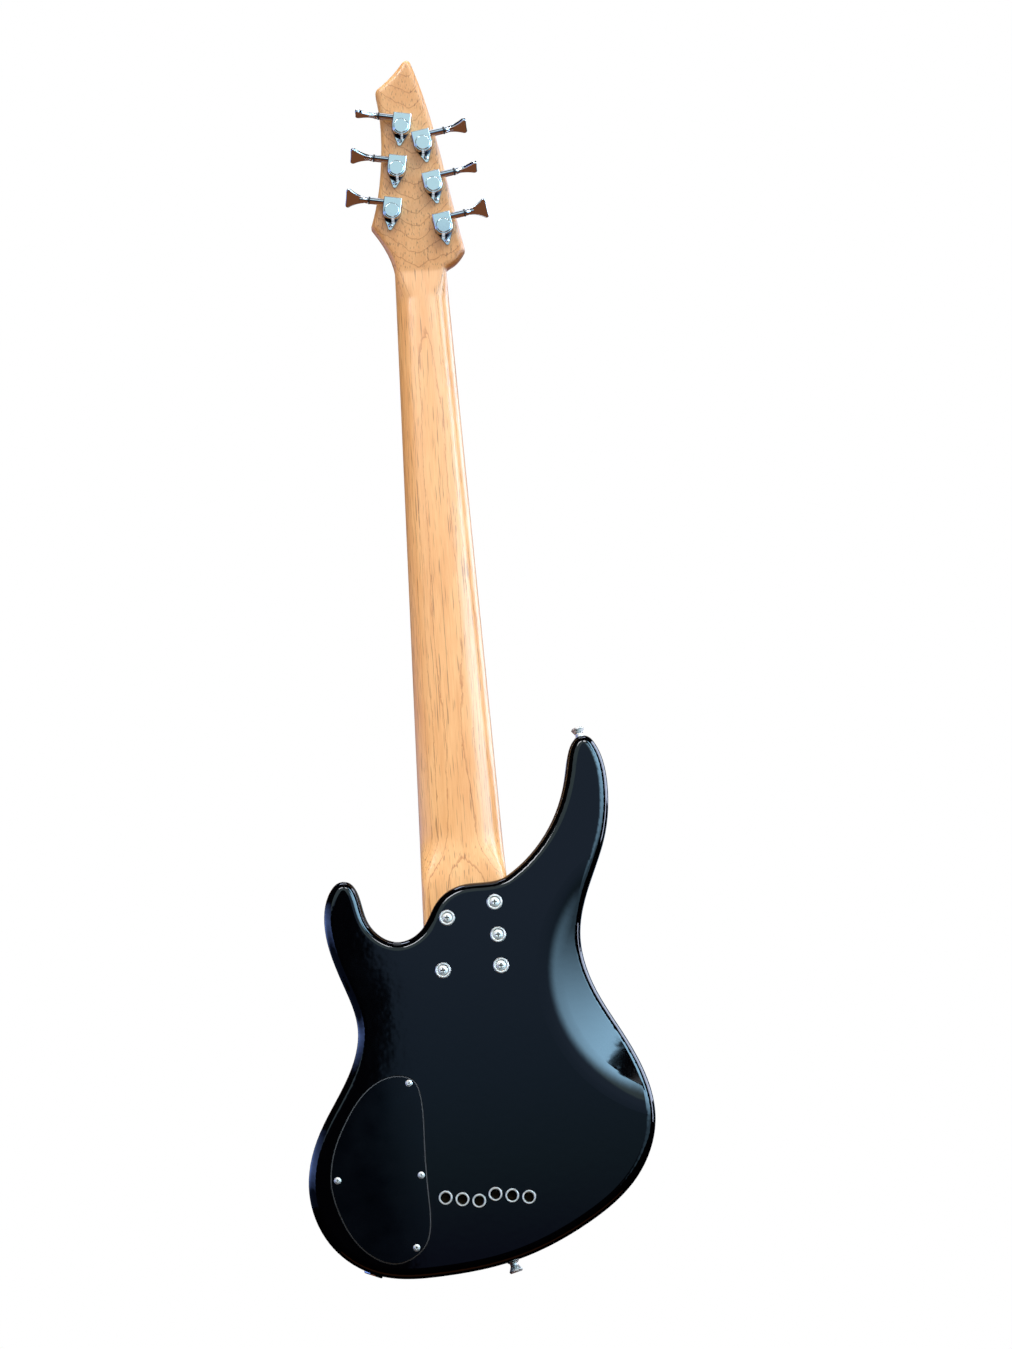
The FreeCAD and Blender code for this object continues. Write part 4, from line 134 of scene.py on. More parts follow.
world = bpy.data.worlds.new("white_studio")
bpy.context.scene.world = world
world.use_nodes = True
tree = world.node_tree
tree.nodes.clear()
rays = add(tree, "ShaderNodeLightPath", {})
mirrors = add(tree, "ShaderNodeMath", [rays.outputs["Is Camera Ray"], rays.outputs["Is Glossy Ray"]],
              operation="MAXIMUM")
seen = add(tree, "ShaderNodeMath", [mirrors.outputs[0], rays.outputs["Is Transmission Ray"]],
           operation="MAXIMUM")
direction = add(tree, "ShaderNodeTexCoord", {})
way = add(tree, "ShaderNodeSeparateXYZ", [direction.outputs["Generated"]])
level = add(tree, "ShaderNodeMapRange", [way.outputs["Z"], *HORIZON_BAND, *LIGHT_FROM_BELOW_AND_ABOVE])
height = add(tree, "ShaderNodeMapRange", [way.outputs["Z"], *HORIZON_BAND])
tint = add(tree, "ShaderNodeMix",
           {0: height.outputs[0], 6: linear(TINT_FROM_BELOW), 7: linear(TINT_FROM_ABOVE)}, data_type="RGBA")
lighting = add(tree, "ShaderNodeBackground", [tint.outputs[2], level.outputs[0]])
white = add(tree, "ShaderNodeBackground", [linear("#ffffff"), 1.0])
mixed = add(tree, "ShaderNodeMixShader", [seen.outputs[0], lighting.outputs[0], white.outputs[0]])
add(tree, "ShaderNodeOutputWorld", {"Surface": mixed.outputs[0]})
print("world light from below and above:", LIGHT_FROM_BELOW_AND_ABOVE)

# %% [markdown]
# A pale floor lies well below the body. Scattered light passes through it, so the world
# keeps lighting the instrument from below. The floor and the cards further down are all
# flat sheets, so one function makes them.

# %% Floor
FLOOR_DROP = 0.33
FLOOR_HALF = 4.0
FLOOR_ROUGHNESS = 0.9


def flat_sheet(name, corners, finish):
    """A flat stage sheet through four corners."""
    mesh = bpy.data.meshes.new(name)
    mesh.from_pydata(corners, [], [range(len(corners))])
    mesh.materials.append(finish)
    sheet = bpy.data.objects.new(name, mesh)
    bpy.context.scene.collection.objects.link(sheet)
    return sheet


floor_paint = bpy.data.materials.new("pale_floor_paint")
floor_paint.use_nodes = True
fill(floor_paint.node_tree.nodes["Principled BSDF"],
     {"Base Color": linear("#f2f2f0"), "Roughness": FLOOR_ROUGHNESS})
floor_z = cad_low.z - FLOOR_DROP
floor = flat_sheet("floor", [(i * FLOOR_HALF, j * FLOOR_HALF, floor_z)
                             for i, j in ((-1, -1), (1, -1), (1, 1), (-1, 1))], floor_paint)
floor.visible_diffuse = False
print("floor at z", round(floor_z, 3))

# %% [markdown]
# ## Lamps
#
# One large soft lamp, high up behind the camera, gives most of the light. It stands so
# far away that the headstock and the body get the same amount, and so high that the
# headstock, which tilts back and looks down a little, comes out darker than the neck.
# Two weaker softboxes open the shadows on the treble side and on the front.

# %% Lamps
MAIN_FROM = Vector((-0.28, 0.42, 0.85))
MAIN_REACH = 3.0
MAIN_COLOUR = "#fff8ee"
MAIN_BRIGHTNESS = 5.0
MAIN_SPREAD = math.radians(60)
SOFTBOX_AIM = Vector((0.0, 0.0, -0.45))
SOFTBOXES = [
    # name, place, side, colour, brightness
    ("treble_softbox", (2.6, 1.6, 0.8), 1.6, "#fff4e8", 2.6),
    ("front_softbox", (1.2, -2.6, 1.2), 1.8, "#ffffff", 1.6),
]


def hang_lamp(name, lamp, place, towards):
    """Hang a lamp that faces one way and is not itself seen in reflections."""
    held = bpy.data.objects.new(name, lamp)
    held.location = place
    held.rotation_mode = "QUATERNION"
    held.rotation_quaternion = towards.to_track_quat("-Z", "Y")
    held.visible_glossy = False
    bpy.context.scene.collection.objects.link(held)


main = bpy.data.lights.new("main_lamp", "SUN")
main.color = linear(MAIN_COLOUR)[:3]
main.energy = MAIN_BRIGHTNESS
main.angle = MAIN_SPREAD
hang_lamp("main_lamp", main, MAIN_FROM * MAIN_REACH, -MAIN_FROM)
print("main lamp at", round(math.degrees(math.asin(MAIN_FROM.normalized().z))), "degrees above the level")
for name, place, side, colour, brightness in SOFTBOXES:
    lamp = bpy.data.lights.new(name, "AREA")
    lamp.shape = "SQUARE"
    lamp.size = side
    lamp.color = linear(colour)[:3]
    lamp.energy = brightness * math.pi * side ** 2
    hang_lamp(name, lamp, place, SOFTBOX_AIM - Vector(place))
    print(name, "gives", round(lamp.energy), "W")

# %% [markdown]
# ## Cards for the reflections
#
# Black gloss and chrome show nothing but reflections, so a photographer builds what
# they see. Cards stand around the instrument and glow, and only reflections show them.
# The largest is the sky card: dark below and pale above, with a black patch on the
# treble side whose edge is ragged. The flat back of the body mirrors it.

# %% Sky card
CARD_LOW_AND_HIGH = (-1.25, 1.5)
SKY_STEPS = [
    # share of the card's height, colour
    (0.0, "#0a0d14"), (0.124, "#45506f"), (0.19, "#5d7c90"), (0.26, "#6c8cac"),
    (0.40, "#84a2c8"), (0.53, "#88a6ca"), (0.57, "#cbf0fa"), (1.0, "#d8f0fa"),
]
PATCH_NOISE = {"Scale": 4.0, "Detail": 5.0}
PATCH_RAGGED = 0.25
PATCH_EDGE = (0.26, 0.285)
PATCH_GLOW_SHARES = (1.0, 0.01)
PATCH_TOP = (0.05, 0.2)


def card_material(name):
    """Emptied material for a card, and its tree."""
    made = bpy.data.materials.new(name)
    made.use_nodes = True
    made.node_tree.nodes.clear()
    return made, made.node_tree


def card_place(tree):
    """Place on a card in metres, whole and in its X, Y and Z."""
    where = add(tree, "ShaderNodeTexCoord", {})
    parts = add(tree, "ShaderNodeSeparateXYZ", [where.outputs["Object"]])
    return where.outputs["Object"], parts.outputs


def sky_card():
    """Sky above, dark below, and a ragged black patch on the treble side."""
    made, tree = card_material("sky_card")
    place, parts = card_place(tree)
    height = add(tree, "ShaderNodeMapRange", [parts["Z"], *CARD_LOW_AND_HIGH])
    grade = add(tree, "ShaderNodeValToRGB", [height.outputs[0]])
    ramp = grade.color_ramp
    while len(ramp.elements) < len(SKY_STEPS):
        ramp.elements.new(0.5)
    for element, (share, colour) in zip(ramp.elements, SKY_STEPS):
        element.position = share
        element.color = linear(colour)
    ragged = add(tree, "ShaderNodeTexNoise", {"Vector": place, **PATCH_NOISE})
    edge = add(tree, "ShaderNodeMath", [ragged.outputs["Fac"], PATCH_RAGGED, parts["X"]],
               operation="MULTIPLY_ADD")
    side = add(tree, "ShaderNodeMapRange", [edge.outputs[0], *PATCH_EDGE, *PATCH_GLOW_SHARES],
               interpolation_type="SMOOTHSTEP")
    above = add(tree, "ShaderNodeMapRange", [parts["Z"], *PATCH_TOP], interpolation_type="SMOOTHSTEP")
    lit = add(tree, "ShaderNodeMath", [side.outputs[0], above.outputs[0]], operation="MAXIMUM")
    glow = add(tree, "ShaderNodeEmission", [grade.outputs["Color"], lit.outputs[0]])
    add(tree, "ShaderNodeOutputMaterial", {"Surface": glow.outputs[0]})
    return made


sky = sky_card()
print("sky card in", len(SKY_STEPS), "steps")

# %% [markdown]
# The belly cut tilts away from the back and mirrors what stands to its own side. A blue
# card there is clear near the instrument, grows brighter upwards, and has a dark patch
# with a torn lower edge. Noise added to the height before a sharp step tears the edge.

# %% Belly card
BELLY_COLOUR = "#aaddff"
BELLY_BRIGHTNESS = 8.5
BELLY_CLEAR_TO_FULL = (-0.55, -1.0)
BELLY_NOISE = {"Scale": 6.0, "Detail": 4.0}
BELLY_TORN = 0.4
BELLY_TORN_EDGE = (0.53, 0.50)
BELLY_PATCH_OUTER_EDGE = (-1.45, -1.6)
BELLY_RISE = (-0.9, 0.4)
BELLY_RISE_SHARES = (0.12, 1.6)


def belly_card():
    """Blue glow that grows upwards, with a torn dark patch high up."""
    made, tree = card_material("belly_card")
    place, parts = card_place(tree)
    inner = add(tree, "ShaderNodeMapRange", [parts["X"], *BELLY_CLEAR_TO_FULL],
                interpolation_type="SMOOTHSTEP")
    ragged = add(tree, "ShaderNodeTexNoise", {"Vector": place, **BELLY_NOISE})
    torn = add(tree, "ShaderNodeMath", [ragged.outputs["Fac"], BELLY_TORN, parts["Z"]],
               operation="MULTIPLY_ADD")
    below = add(tree, "ShaderNodeMapRange", [torn.outputs[0], *BELLY_TORN_EDGE])
    beyond = add(tree, "ShaderNodeMapRange", [parts["X"], *BELLY_PATCH_OUTER_EDGE])
    outer = add(tree, "ShaderNodeMath", [below.outputs[0], beyond.outputs[0]], operation="MAXIMUM")
    rise = add(tree, "ShaderNodeMapRange", [parts["Z"], *BELLY_RISE, *BELLY_RISE_SHARES])
    share = add(tree, "ShaderNodeMath", [outer.outputs[0], rise.outputs[0]], operation="MULTIPLY")
    power = add(tree, "ShaderNodeMath", [share.outputs[0], BELLY_BRIGHTNESS], operation="MULTIPLY")
    glow = add(tree, "ShaderNodeEmission", [linear(BELLY_COLOUR), power.outputs[0]])
    clear = add(tree, "ShaderNodeBsdfTransparent", {})
    veil = add(tree, "ShaderNodeMixShader", [inner.outputs[0], clear.outputs[0], glow.outputs[0]])
    add(tree, "ShaderNodeOutputMaterial", {"Surface": veil.outputs[0]})
    return made


belly = belly_card()
print("belly card, up to", BELLY_BRIGHTNESS * BELLY_RISE_SHARES[1], "times as bright as white")

# %% [markdown]
# The rounded edge on the treble side mirrors a navy card. It is brightest at half its
# height and fades to nothing above and to little below, so two ramps are multiplied.

# %% Navy card
NAVY_COLOUR = "#5a70a8"
NAVY_RISE = (-0.85, -0.27)
NAVY_RISE_BRIGHTNESS = (0.3, 7.5)
NAVY_TOP = 0.6
NAVY_FALL_SHARES = (1.0, 0.0)


def navy_card():
    """Navy glow, strongest at half height."""
    made, tree = card_material("navy_card")
    parts = card_place(tree)[1]
    rise = add(tree, "ShaderNodeMapRange", [parts["Z"], *NAVY_RISE, *NAVY_RISE_BRIGHTNESS])
    fall = add(tree, "ShaderNodeMapRange", [parts["Z"], NAVY_RISE[1], NAVY_TOP, *NAVY_FALL_SHARES])
    power = add(tree, "ShaderNodeMath", [rise.outputs[0], fall.outputs[0]], operation="MULTIPLY")
    glow = add(tree, "ShaderNodeEmission", [linear(NAVY_COLOUR), power.outputs[0]])
    add(tree, "ShaderNodeOutputMaterial", {"Surface": glow.outputs[0]})
    return made


navy = navy_card()
print("navy card, up to", NAVY_RISE_BRIGHTNESS[1], "times as bright as white")

# %% [markdown]
# The other cards glow evenly, and only on the face that they turn to the instrument.
# From behind they are clear, so that a small card never hides a large one.

# %% Plain cards
PLAIN_CARDS = [
    # name, colour, brightness
    ("black_flag", "#000000", 0.0),
    ("brown_shelf", "#7a4a30", 1.0),
    ("pale_card", "#eaf2ff", 1.3),
    ("window_card", "#d4e2ff", 8.0),
    ("strip_light", "#d4e2ff", 10.0),
    ("white_panel", "#f4f8ff", 15.0),
    ("white_shelf", "#f4f8ff", 1.0),
]


def plain_card(name, colour, brightness):
    """Card that glows evenly on its front face and is clear from behind."""
    made, tree = card_material(name)
    side = add(tree, "ShaderNodeNewGeometry", {})
    glow = add(tree, "ShaderNodeEmission", [linear(colour), brightness])
    clear = add(tree, "ShaderNodeBsdfTransparent", {})
    card = add(tree, "ShaderNodeMixShader", [side.outputs["Backfacing"], glow.outputs[0], clear.outputs[0]])
    add(tree, "ShaderNodeOutputMaterial", {"Surface": card.outputs[0]})
    return made


black, brown, pale, window, strip, panel, white_shelf = [plain_card(*look) for look in PLAIN_CARDS]
print(len(PLAIN_CARDS), "plain cards")

# %% [markdown]
# A card is upright and across the view, upright and to one side, or level. Three small
# functions put the corners in the order that turns the card's face to the instrument.

# %% Three ways to put up a card
def level_card(name, finish, x, y, z, turned):
    """Level card at one height that faces up, or down if turned."""
    corners = [(x[0], y[0], z), (x[1], y[0], z), (x[1], y[1], z), (x[0], y[1], z)]
    return flat_sheet(name, corners[::-1] if turned else corners, finish)


def cross_card(name, finish, x, y, z):
    """Upright card across the view at one depth. It faces the front if x runs to the treble side."""
    return flat_sheet(name, [(x[0], y, z[0]), (x[1], y, z[0]), (x[1], y, z[1]), (x[0], y, z[1])], finish)


def side_card(name, finish, x, y, z):
    """Upright card along the view that faces the instrument from one side."""
    corners = [(x, y[0], z[0]), (x, y[1], z[0]), (x, y[1], z[1]), (x, y[0], z[1])]
    return flat_sheet(name, corners if x < 0 else corners[::-1], finish)


print("card makers:", [maker.__name__ for maker in (level_card, cross_card, side_card)])

# %% [markdown]
# The cards form a room. Sky stands behind and in front, with a brown shade in front and
# two white panels high up behind for the highlights. Shelves below the headstock, brown
# to both sides and white in the middle, and a pale roof above it are what the tuners
# mirror. A window and strips of light give the chrome its glints. Black flags close the
# room, so that gloss that faces them stays black.

# %% Edges of the cards
BACK, FRONT = 3.2, -3.2
BASS, TREBLE = -3.0, 2.6
CEILING = 2.4
AHEAD = 0.02
GROUND_GAP = 0.01
GROUND = floor_z + GROUND_GAP
WIDE, DEEP, TALL = (BASS, TREBLE), (FRONT, BACK), (GROUND, CEILING)
SHADE_X, SHADE_Z = (2.5, -1.6), (0.2, 1.8)
PANEL_INNER, PANEL_OUTER = 0.4, 1.8
PANEL_Z = (CARD_LOW_AND_HIGH[1], CEILING)
BELLY_X, BELLY_DEPTH = (-2.6, -0.5), 1.7
SHELF_Y, SHELF_Z = (FRONT, 0.56), -0.27
BASS_SHELF_X, TREBLE_SHELF_X = (-0.30, -0.075), (0.06, 0.45)
MIDDLE_SHELF_X, MIDDLE_SHELF_Y = (-0.075, 0.057), (-0.3, 1.6)
ROOF_X, ROOF_Y, ROOF_Z = (-0.16, 0.16), (-1.7, 0.35), 0.75
WINDOW_Y, WINDOW_Z = (-2.0, 0.3), (-0.2, 2.0)
BASS_STRIP_Y, BASS_STRIP_Z = (-0.3, 0.2), (-1.0, 0.1)
CEILING_STRIP_X, CEILING_STRIP_Y = (-1.0, 1.0), (-0.6, -0.1)
GROUND_STRIP_X, GROUND_STRIP_Y = (-0.5, 0.5), (0.0, 0.12)
print("room of cards in m:", [round(edge[1] - edge[0], 2) for edge in (WIDE, DEEP, TALL)])

# %% [markdown]
# Now each card gets its name, finish and place. None throws a shadow or lights a matt
# surface, and the camera does not see it.

# %% Put up the cards
cards = [
    cross_card("back_card", sky, WIDE, BACK, TALL),
    cross_card("front_card", sky, WIDE, FRONT, TALL),
    cross_card("front_shade", brown, SHADE_X, FRONT + AHEAD, SHADE_Z),
    cross_card("bass_panel", panel, (-PANEL_OUTER, -PANEL_INNER), BACK - AHEAD, PANEL_Z),
    cross_card("treble_panel", panel, (PANEL_INNER, PANEL_OUTER), BACK - AHEAD, PANEL_Z),
    cross_card("belly_card", belly, BELLY_X, BELLY_DEPTH, (GROUND, CARD_LOW_AND_HIGH[1])),
    side_card("bass_flag", black, BASS, DEEP, TALL),
    side_card("treble_flag", black, TREBLE, DEEP, TALL),
    side_card("treble_card", navy, TREBLE - AHEAD, DEEP, (GROUND, NAVY_TOP)),
    level_card("ceiling_flag", black, WIDE, DEEP, CEILING, True),
    level_card("ground_flag", black, WIDE, DEEP, GROUND, False),
    level_card("bass_shelf", brown, BASS_SHELF_X, SHELF_Y, SHELF_Z, False),
    level_card("middle_shelf", white_shelf, MIDDLE_SHELF_X, MIDDLE_SHELF_Y, SHELF_Z, False),
    level_card("treble_shelf", brown, TREBLE_SHELF_X, SHELF_Y, SHELF_Z, False),
    level_card("roof_card", pale, ROOF_X, ROOF_Y, ROOF_Z, True),
    side_card("bass_window", window, BASS + AHEAD, WINDOW_Y, WINDOW_Z),
    side_card("bass_strip", strip, BASS + AHEAD, BASS_STRIP_Y, BASS_STRIP_Z),
    level_card("ceiling_strip", strip, CEILING_STRIP_X, CEILING_STRIP_Y, CEILING - AHEAD, True),
    level_card("ground_strip", brown, GROUND_STRIP_X, GROUND_STRIP_Y, GROUND + AHEAD, False),
]
for card in cards:
    card.visible_camera = False
    card.visible_diffuse = False
    card.visible_shadow = False
print(len(cards), "cards, seen only in reflections")

# %% [markdown]
# ## A place in millimetres
#
# Patterns such as grain or polish have real sizes. Each material reads the piece's own
# coordinates, which stay with it when it moves, and scales them from metres to
# millimetres, so that a pattern's scale is written as the size it has on the bench.
# Most values of a noise lie between 0.3 and 0.7, so that band is spread over a finish's
# darkest and lightest, or its glossiest and dullest.

# %% Start of a material
NOISE_BAND = (0.3, 0.7)
WHOLE = (0.0, 1.0)


def new_material(name):
    """Material with a Principled shader: the material, its tree, the shader, the place in mm."""
    made = bpy.data.materials.new(name)
    made.use_nodes = True
    tree = made.node_tree
    where = add(tree, "ShaderNodeTexCoord", {})
    place = add(tree, "ShaderNodeVectorMath", [where.outputs["Object"], [1 / MM] * 3], operation="MULTIPLY")
    return made, tree, tree.nodes["Principled BSDF"], place.outputs[0]


def dress(finish, *names):
    """Give CAD nodes their finish."""
    for name in names:
        mesh = nodes[name].data
        mesh.materials.clear()
        mesh.materials.append(finish)
    print(finish.name, "on", ", ".join(names))


print("patterns count", round(1 / MM), "mm to the metre")

# %% [markdown]
# ## Body: black polyester lacquer
#
# The wood is sealed, sprayed black and polished to a mirror, so colour matters little
# and the surface matters most. Polishing never gets it quite flat: a slow ripple of a
# few millimetres, called orange peel, bends the reflections, and fine dust and wiping
# marks haze them. Both are noise, one in the bump and one in the roughness.

# %% Body
HAZE_MM = 45.0
HAZE_NOISE = {"Scale": 1.0, "Detail": 8.0, "Roughness": 0.7}
PEEL_MM = 7.0
PEEL_NOISE = {"Scale": 1.0, "Detail": 1.0}
PEEL_STRENGTH = 0.02
LACQUER_COLOURS = ("#010102", "#020204")
LACQUER_ROUGHNESS = (0.03, 0.07)
LACQUER_IOR = 1.52


def black_lacquer():
    """Sprayed and polished black polyester lacquer: a deep, slightly hazy mirror."""
    made, tree, shader, mm = new_material("black_polyester_lacquer")
    haze_place = add(tree, "ShaderNodeMapping", {"Vector": mm, "Scale": [1 / HAZE_MM] * 3})
    haze = add(tree, "ShaderNodeTexNoise", {"Vector": haze_place.outputs[0], **HAZE_NOISE})
    rough = add(tree, "ShaderNodeMapRange", [haze.outputs["Fac"], *NOISE_BAND, *LACQUER_ROUGHNESS])
    peel_place = add(tree, "ShaderNodeMapping", {"Vector": mm, "Scale": [1 / PEEL_MM] * 3})
    peel = add(tree, "ShaderNodeTexNoise", {"Vector": peel_place.outputs[0], **PEEL_NOISE})
    ripple = add(tree, "ShaderNodeBump",
                 {"Height": peel.outputs["Fac"], "Strength": PEEL_STRENGTH, "Distance": MM})
    dark, light = [linear(colour) for colour in LACQUER_COLOURS]
    tone = add(tree, "ShaderNodeMix", {0: haze.outputs["Fac"], 6: dark, 7: light}, data_type="RGBA")
    fill(shader, {"Base Color": tone.outputs[2], "Roughness": rough.outputs[0], "Normal": ripple.outputs[0],
                  "IOR": LACQUER_IOR})
    return made


dress(black_lacquer(), "body")

# %% [markdown]
# ## Neck: maple under satin lacquer
#
# The neck is one flat-sawn board. Its growth rings are sheets in the wood, and every
# surface cuts them at its own angle: along the shaft they come out as long lines, and
# on the tilted headstock as nested V shapes that point at the body. So the rings are
# made as a solid pattern, in layers along the depth that dip to both sides and wander
# a little, and the shape of the neck does the rest.

# %% Growth lines of the maple
RING_MM = 2.6
RING_DIP = 0.12
RING_SOFT_MM = 3.0
WANDER_MM = 6.0
JAG_MM = 0.7
LINE_BAND = (0.88, 0.98)
HEADSTOCK_TILT = math.radians(10)


def growth_lines(tree, mm, wander, jag):
    """1 on a growth line and 0 between two of them."""
    place = add(tree, "ShaderNodeSeparateXYZ", [mm]).outputs
    square = add(tree, "ShaderNodeMath", [place["X"], place["X"], RING_SOFT_MM ** 2],
                 operation="MULTIPLY_ADD")
    spread = add(tree, "ShaderNodeMath", [square.outputs[0]], operation="SQRT")
    dipped = add(tree, "ShaderNodeMath", [spread.outputs[0], -RING_DIP, place["Y"]],
                 operation="MULTIPLY_ADD")
    moved = add(tree, "ShaderNodeMath", [wander, WANDER_MM, dipped.outputs[0]], operation="MULTIPLY_ADD")
    torn = add(tree, "ShaderNodeMath", [jag, JAG_MM, moved.outputs[0]], operation="MULTIPLY_ADD")
    rings = add(tree, "ShaderNodeMath", [torn.outputs[0], RING_MM], operation="DIVIDE")
    phase = add(tree, "ShaderNodeMath", [rings.outputs[0]], operation="FRACT")
    line = add(tree, "ShaderNodeMapRange", [phase.outputs[0], *LINE_BAND],
               interpolation_type="SMOOTHERSTEP")
    return line.outputs[0]


print("rings every", RING_MM, "mm, on the headstock", round(RING_MM / math.tan(HEADSTOCK_TILT)), "mm")

# %% [markdown]
# The wood's own colour runs from tan to pale in patches and fibres. The growth lines and
# the pores darken it by a share, and painted shade darkens it where the tuners and the body
# meet the wood. Ambient occlusion finds those corners.

# %% Colour of the maple
WOOD_BAND = (0.7, 1.3)
WOOD_COLOURS = ("#dea86e", "#f0c58c")
LINE_COLOUR, LINE_SHARE = "#a8642c", 0.55
PORE_COLOUR, PORE_SHARE = "#7a4624", 0.58
# Painted shade in the corners around the hardware: its colour, reach and band.
WOOD_CORNER_SHADE_COLOUR, WOOD_CORNER_SHADE_MM = "#2a1710", 1.6
WOOD_CORNER_SHADE_BAND = (0.35, 0.8)
CORNER_SAMPLES = 8


def maple_colour(tree, line, dash, patch, fibre):
    """Colour of the wood with its lines, pores and painted shade in its corners."""
    blend = add(tree, "ShaderNodeMath", [patch, fibre], operation="ADD")
    shade = add(tree, "ShaderNodeMapRange", [blend.outputs[0], *WOOD_BAND])
    dark, light = [linear(colour) for colour in WOOD_COLOURS]
    tone = add(tree, "ShaderNodeMix", {0: shade.outputs[0], 6: dark, 7: light}, data_type="RGBA")
    for mark, share, colour in ((line, LINE_SHARE, LINE_COLOUR), (dash, PORE_SHARE, PORE_COLOUR)):
        part = add(tree, "ShaderNodeMath", [mark, share], operation="MULTIPLY")
        tone = add(tree, "ShaderNodeMix", {0: part.outputs[0], 6: tone.outputs[2], 7: linear(colour)},
                   data_type="RGBA")
    # Painted shade: ambient occlusion darkens the wood in the corners where the tuners and the body meet
    # it.
    corner = add(tree, "ShaderNodeAmbientOcclusion", {"Distance": WOOD_CORNER_SHADE_MM * MM},
                 samples=CORNER_SAMPLES)
    unshaded = add(tree, "ShaderNodeMapRange", [corner.outputs["AO"], *WOOD_CORNER_SHADE_BAND])
    tone = add(tree, "ShaderNodeMix",
               {0: unshaded.outputs[0], 6: linear(WOOD_CORNER_SHADE_COLOUR), 7: tone.outputs[2]}, data_type="RGBA")
    return tone.outputs[2]


print("maple from", WOOD_COLOURS[0], "to", WOOD_COLOURS[1])

# %% [markdown]
# The pores are noise stretched to 36 mm along the grain. The shaft runs along them and
# shows long streaks, and the tilted headstock cuts them into short dashes. A real pore
# is 0.2 mm wide, which is too fine to show, so they are drawn about 1 mm wide. Satin
# lacquer lies over the wood as a coat. The edges, and the crease below the headstock, are
# sanded soft, and a bevel node softens them in the shading.

# %% Neck
WANDER_SIZE_MM = (40.0, 40.0, 170.0)
JAG_SIZE_MM = (3.0, 3.0, 9.0)
PORE_SIZE_MM = (1.0, 0.8, 36.0)
PATCH_SIZE_MM = (16.0, 16.0, 90.0)
FIBRE_SIZE_MM = (0.8, 0.8, 30.0)
MAPLE_NOISES = [
    # size in mm, detail
    (WANDER_SIZE_MM, 2.0), (JAG_SIZE_MM, 3.0), (PORE_SIZE_MM, 1.0), (PATCH_SIZE_MM, 4.0),
    (FIBRE_SIZE_MM, 3.0),
]
PORE_BAND = (0.61, 0.68)
MAPLE_ROUGHNESS = (0.28, 0.42)
MAPLE_RELIEF = {"Strength": 0.03, "Distance": 0.1 * MM}
SANDED_MM = 7.0
SANDED_SAMPLES = 6
SATIN_COAT = {"IOR": 1.5, "Coat Weight": 0.5, "Coat Roughness": 0.14}


def lacquered_maple():
    """Flat-sawn maple under satin lacquer: warm wood with a soft sheen."""
    made, tree, shader, mm = new_material("satin_lacquered_maple")
    noises = []
    for size, detail in MAPLE_NOISES:
        scaled = add(tree, "ShaderNodeMapping", {"Vector": mm, "Scale": [1 / side for side in size]})
        noise = add(tree, "ShaderNodeTexNoise",
                    {"Vector": scaled.outputs[0], "Scale": 1.0, "Detail": detail})
        noises.append(noise.outputs["Fac"])
    wander, jag, pores, patch, fibre = noises
    line = growth_lines(tree, mm, wander, jag)
    dash = add(tree, "ShaderNodeMapRange", [pores, *PORE_BAND], interpolation_type="SMOOTHSTEP").outputs[0]
    rough = add(tree, "ShaderNodeMapRange", [patch, *WHOLE, *MAPLE_ROUGHNESS])
    relief = add(tree, "ShaderNodeMath", [dash, -1.0, line], operation="MULTIPLY_ADD")
    eased = add(tree, "ShaderNodeBevel", {"Radius": SANDED_MM * MM}, samples=SANDED_SAMPLES)
    bump = add(tree, "ShaderNodeBump",
               {"Height": relief.outputs[0], "Normal": eased.outputs[0], **MAPLE_RELIEF})
    fill(shader, {"Base Color": maple_colour(tree, line, dash, patch, fibre), "Roughness": rough.outputs[0],
                  "Normal": bump.outputs[0], **SATIN_COAT})
    return made


dress(lacquered_maple(), "neck")

# %% [markdown]
# ## Metals
#
# A metal's colour is the colour of its reflection. The tuners, bridge, knobs and most
# screws are polished and plated with chrome, which is nearly neutral and sharp. The neck
# bolts and their cups, the ferrules, the strap buttons and the cover's screws are plain
# nickel, dull and pale. Polishing leaves a faint waviness, and painted shade darkens
# corners and slots. All this differs only in a few values, so one function makes every metal.

# %% Metals
# Colour and band of the painted shade in corners, creases and slots.
METAL_CORNER_SHADE_COLOUR = "#08080a"
METAL_CORNER_SHADE_BAND = (0.45, 0.9)
GRAIN_NOISE = {"Scale": 1.0, "Detail": 4.0}
RELIEF_DEPTH = 0.1 * MM


def metal(name, colour, roughness, grain_mm, relief, corner_shade_mm):
    """Polished, plated or drawn metal with a fine unevenness and painted shade in its corners."""
    made, tree, shader, mm = new_material(name)
    scaled = add(tree, "ShaderNodeMapping", {"Vector": mm, "Scale": [1 / grain_mm] * 3})
    grain = add(tree, "ShaderNodeTexNoise", {"Vector": scaled.outputs[0], **GRAIN_NOISE})
    rough = add(tree, "ShaderNodeMapRange", [grain.outputs["Fac"], *NOISE_BAND, *roughness])
    bump = add(tree, "ShaderNodeBump",
               {"Height": grain.outputs["Fac"], "Strength": relief, "Distance": RELIEF_DEPTH})
    # Painted shade: ambient occlusion darkens corners, creases and slots towards the shade colour.
    corner = add(tree, "ShaderNodeAmbientOcclusion", {"Distance": corner_shade_mm * MM}, samples=CORNER_SAMPLES)
    unshaded = add(tree, "ShaderNodeMapRange", [corner.outputs["AO"], *METAL_CORNER_SHADE_BAND])
    tone = add(tree, "ShaderNodeMix",
               {0: unshaded.outputs[0], 6: linear(METAL_CORNER_SHADE_COLOUR), 7: linear(colour)}, data_type="RGBA")
    fill(shader, {"Base Color": tone.outputs[2], "Roughness": rough.outputs[0], "Normal": bump.outputs[0],
                  "Metallic": 1.0})
    return made


# Prints the colour of the painted shade in a metal's corners.
print("grime in a metal's corners is", METAL_CORNER_SHADE_COLOUR)

# %% [markdown]
# Each metal is a row of a table. The comment above a row says how the surface was made
# and what that gives the eye.

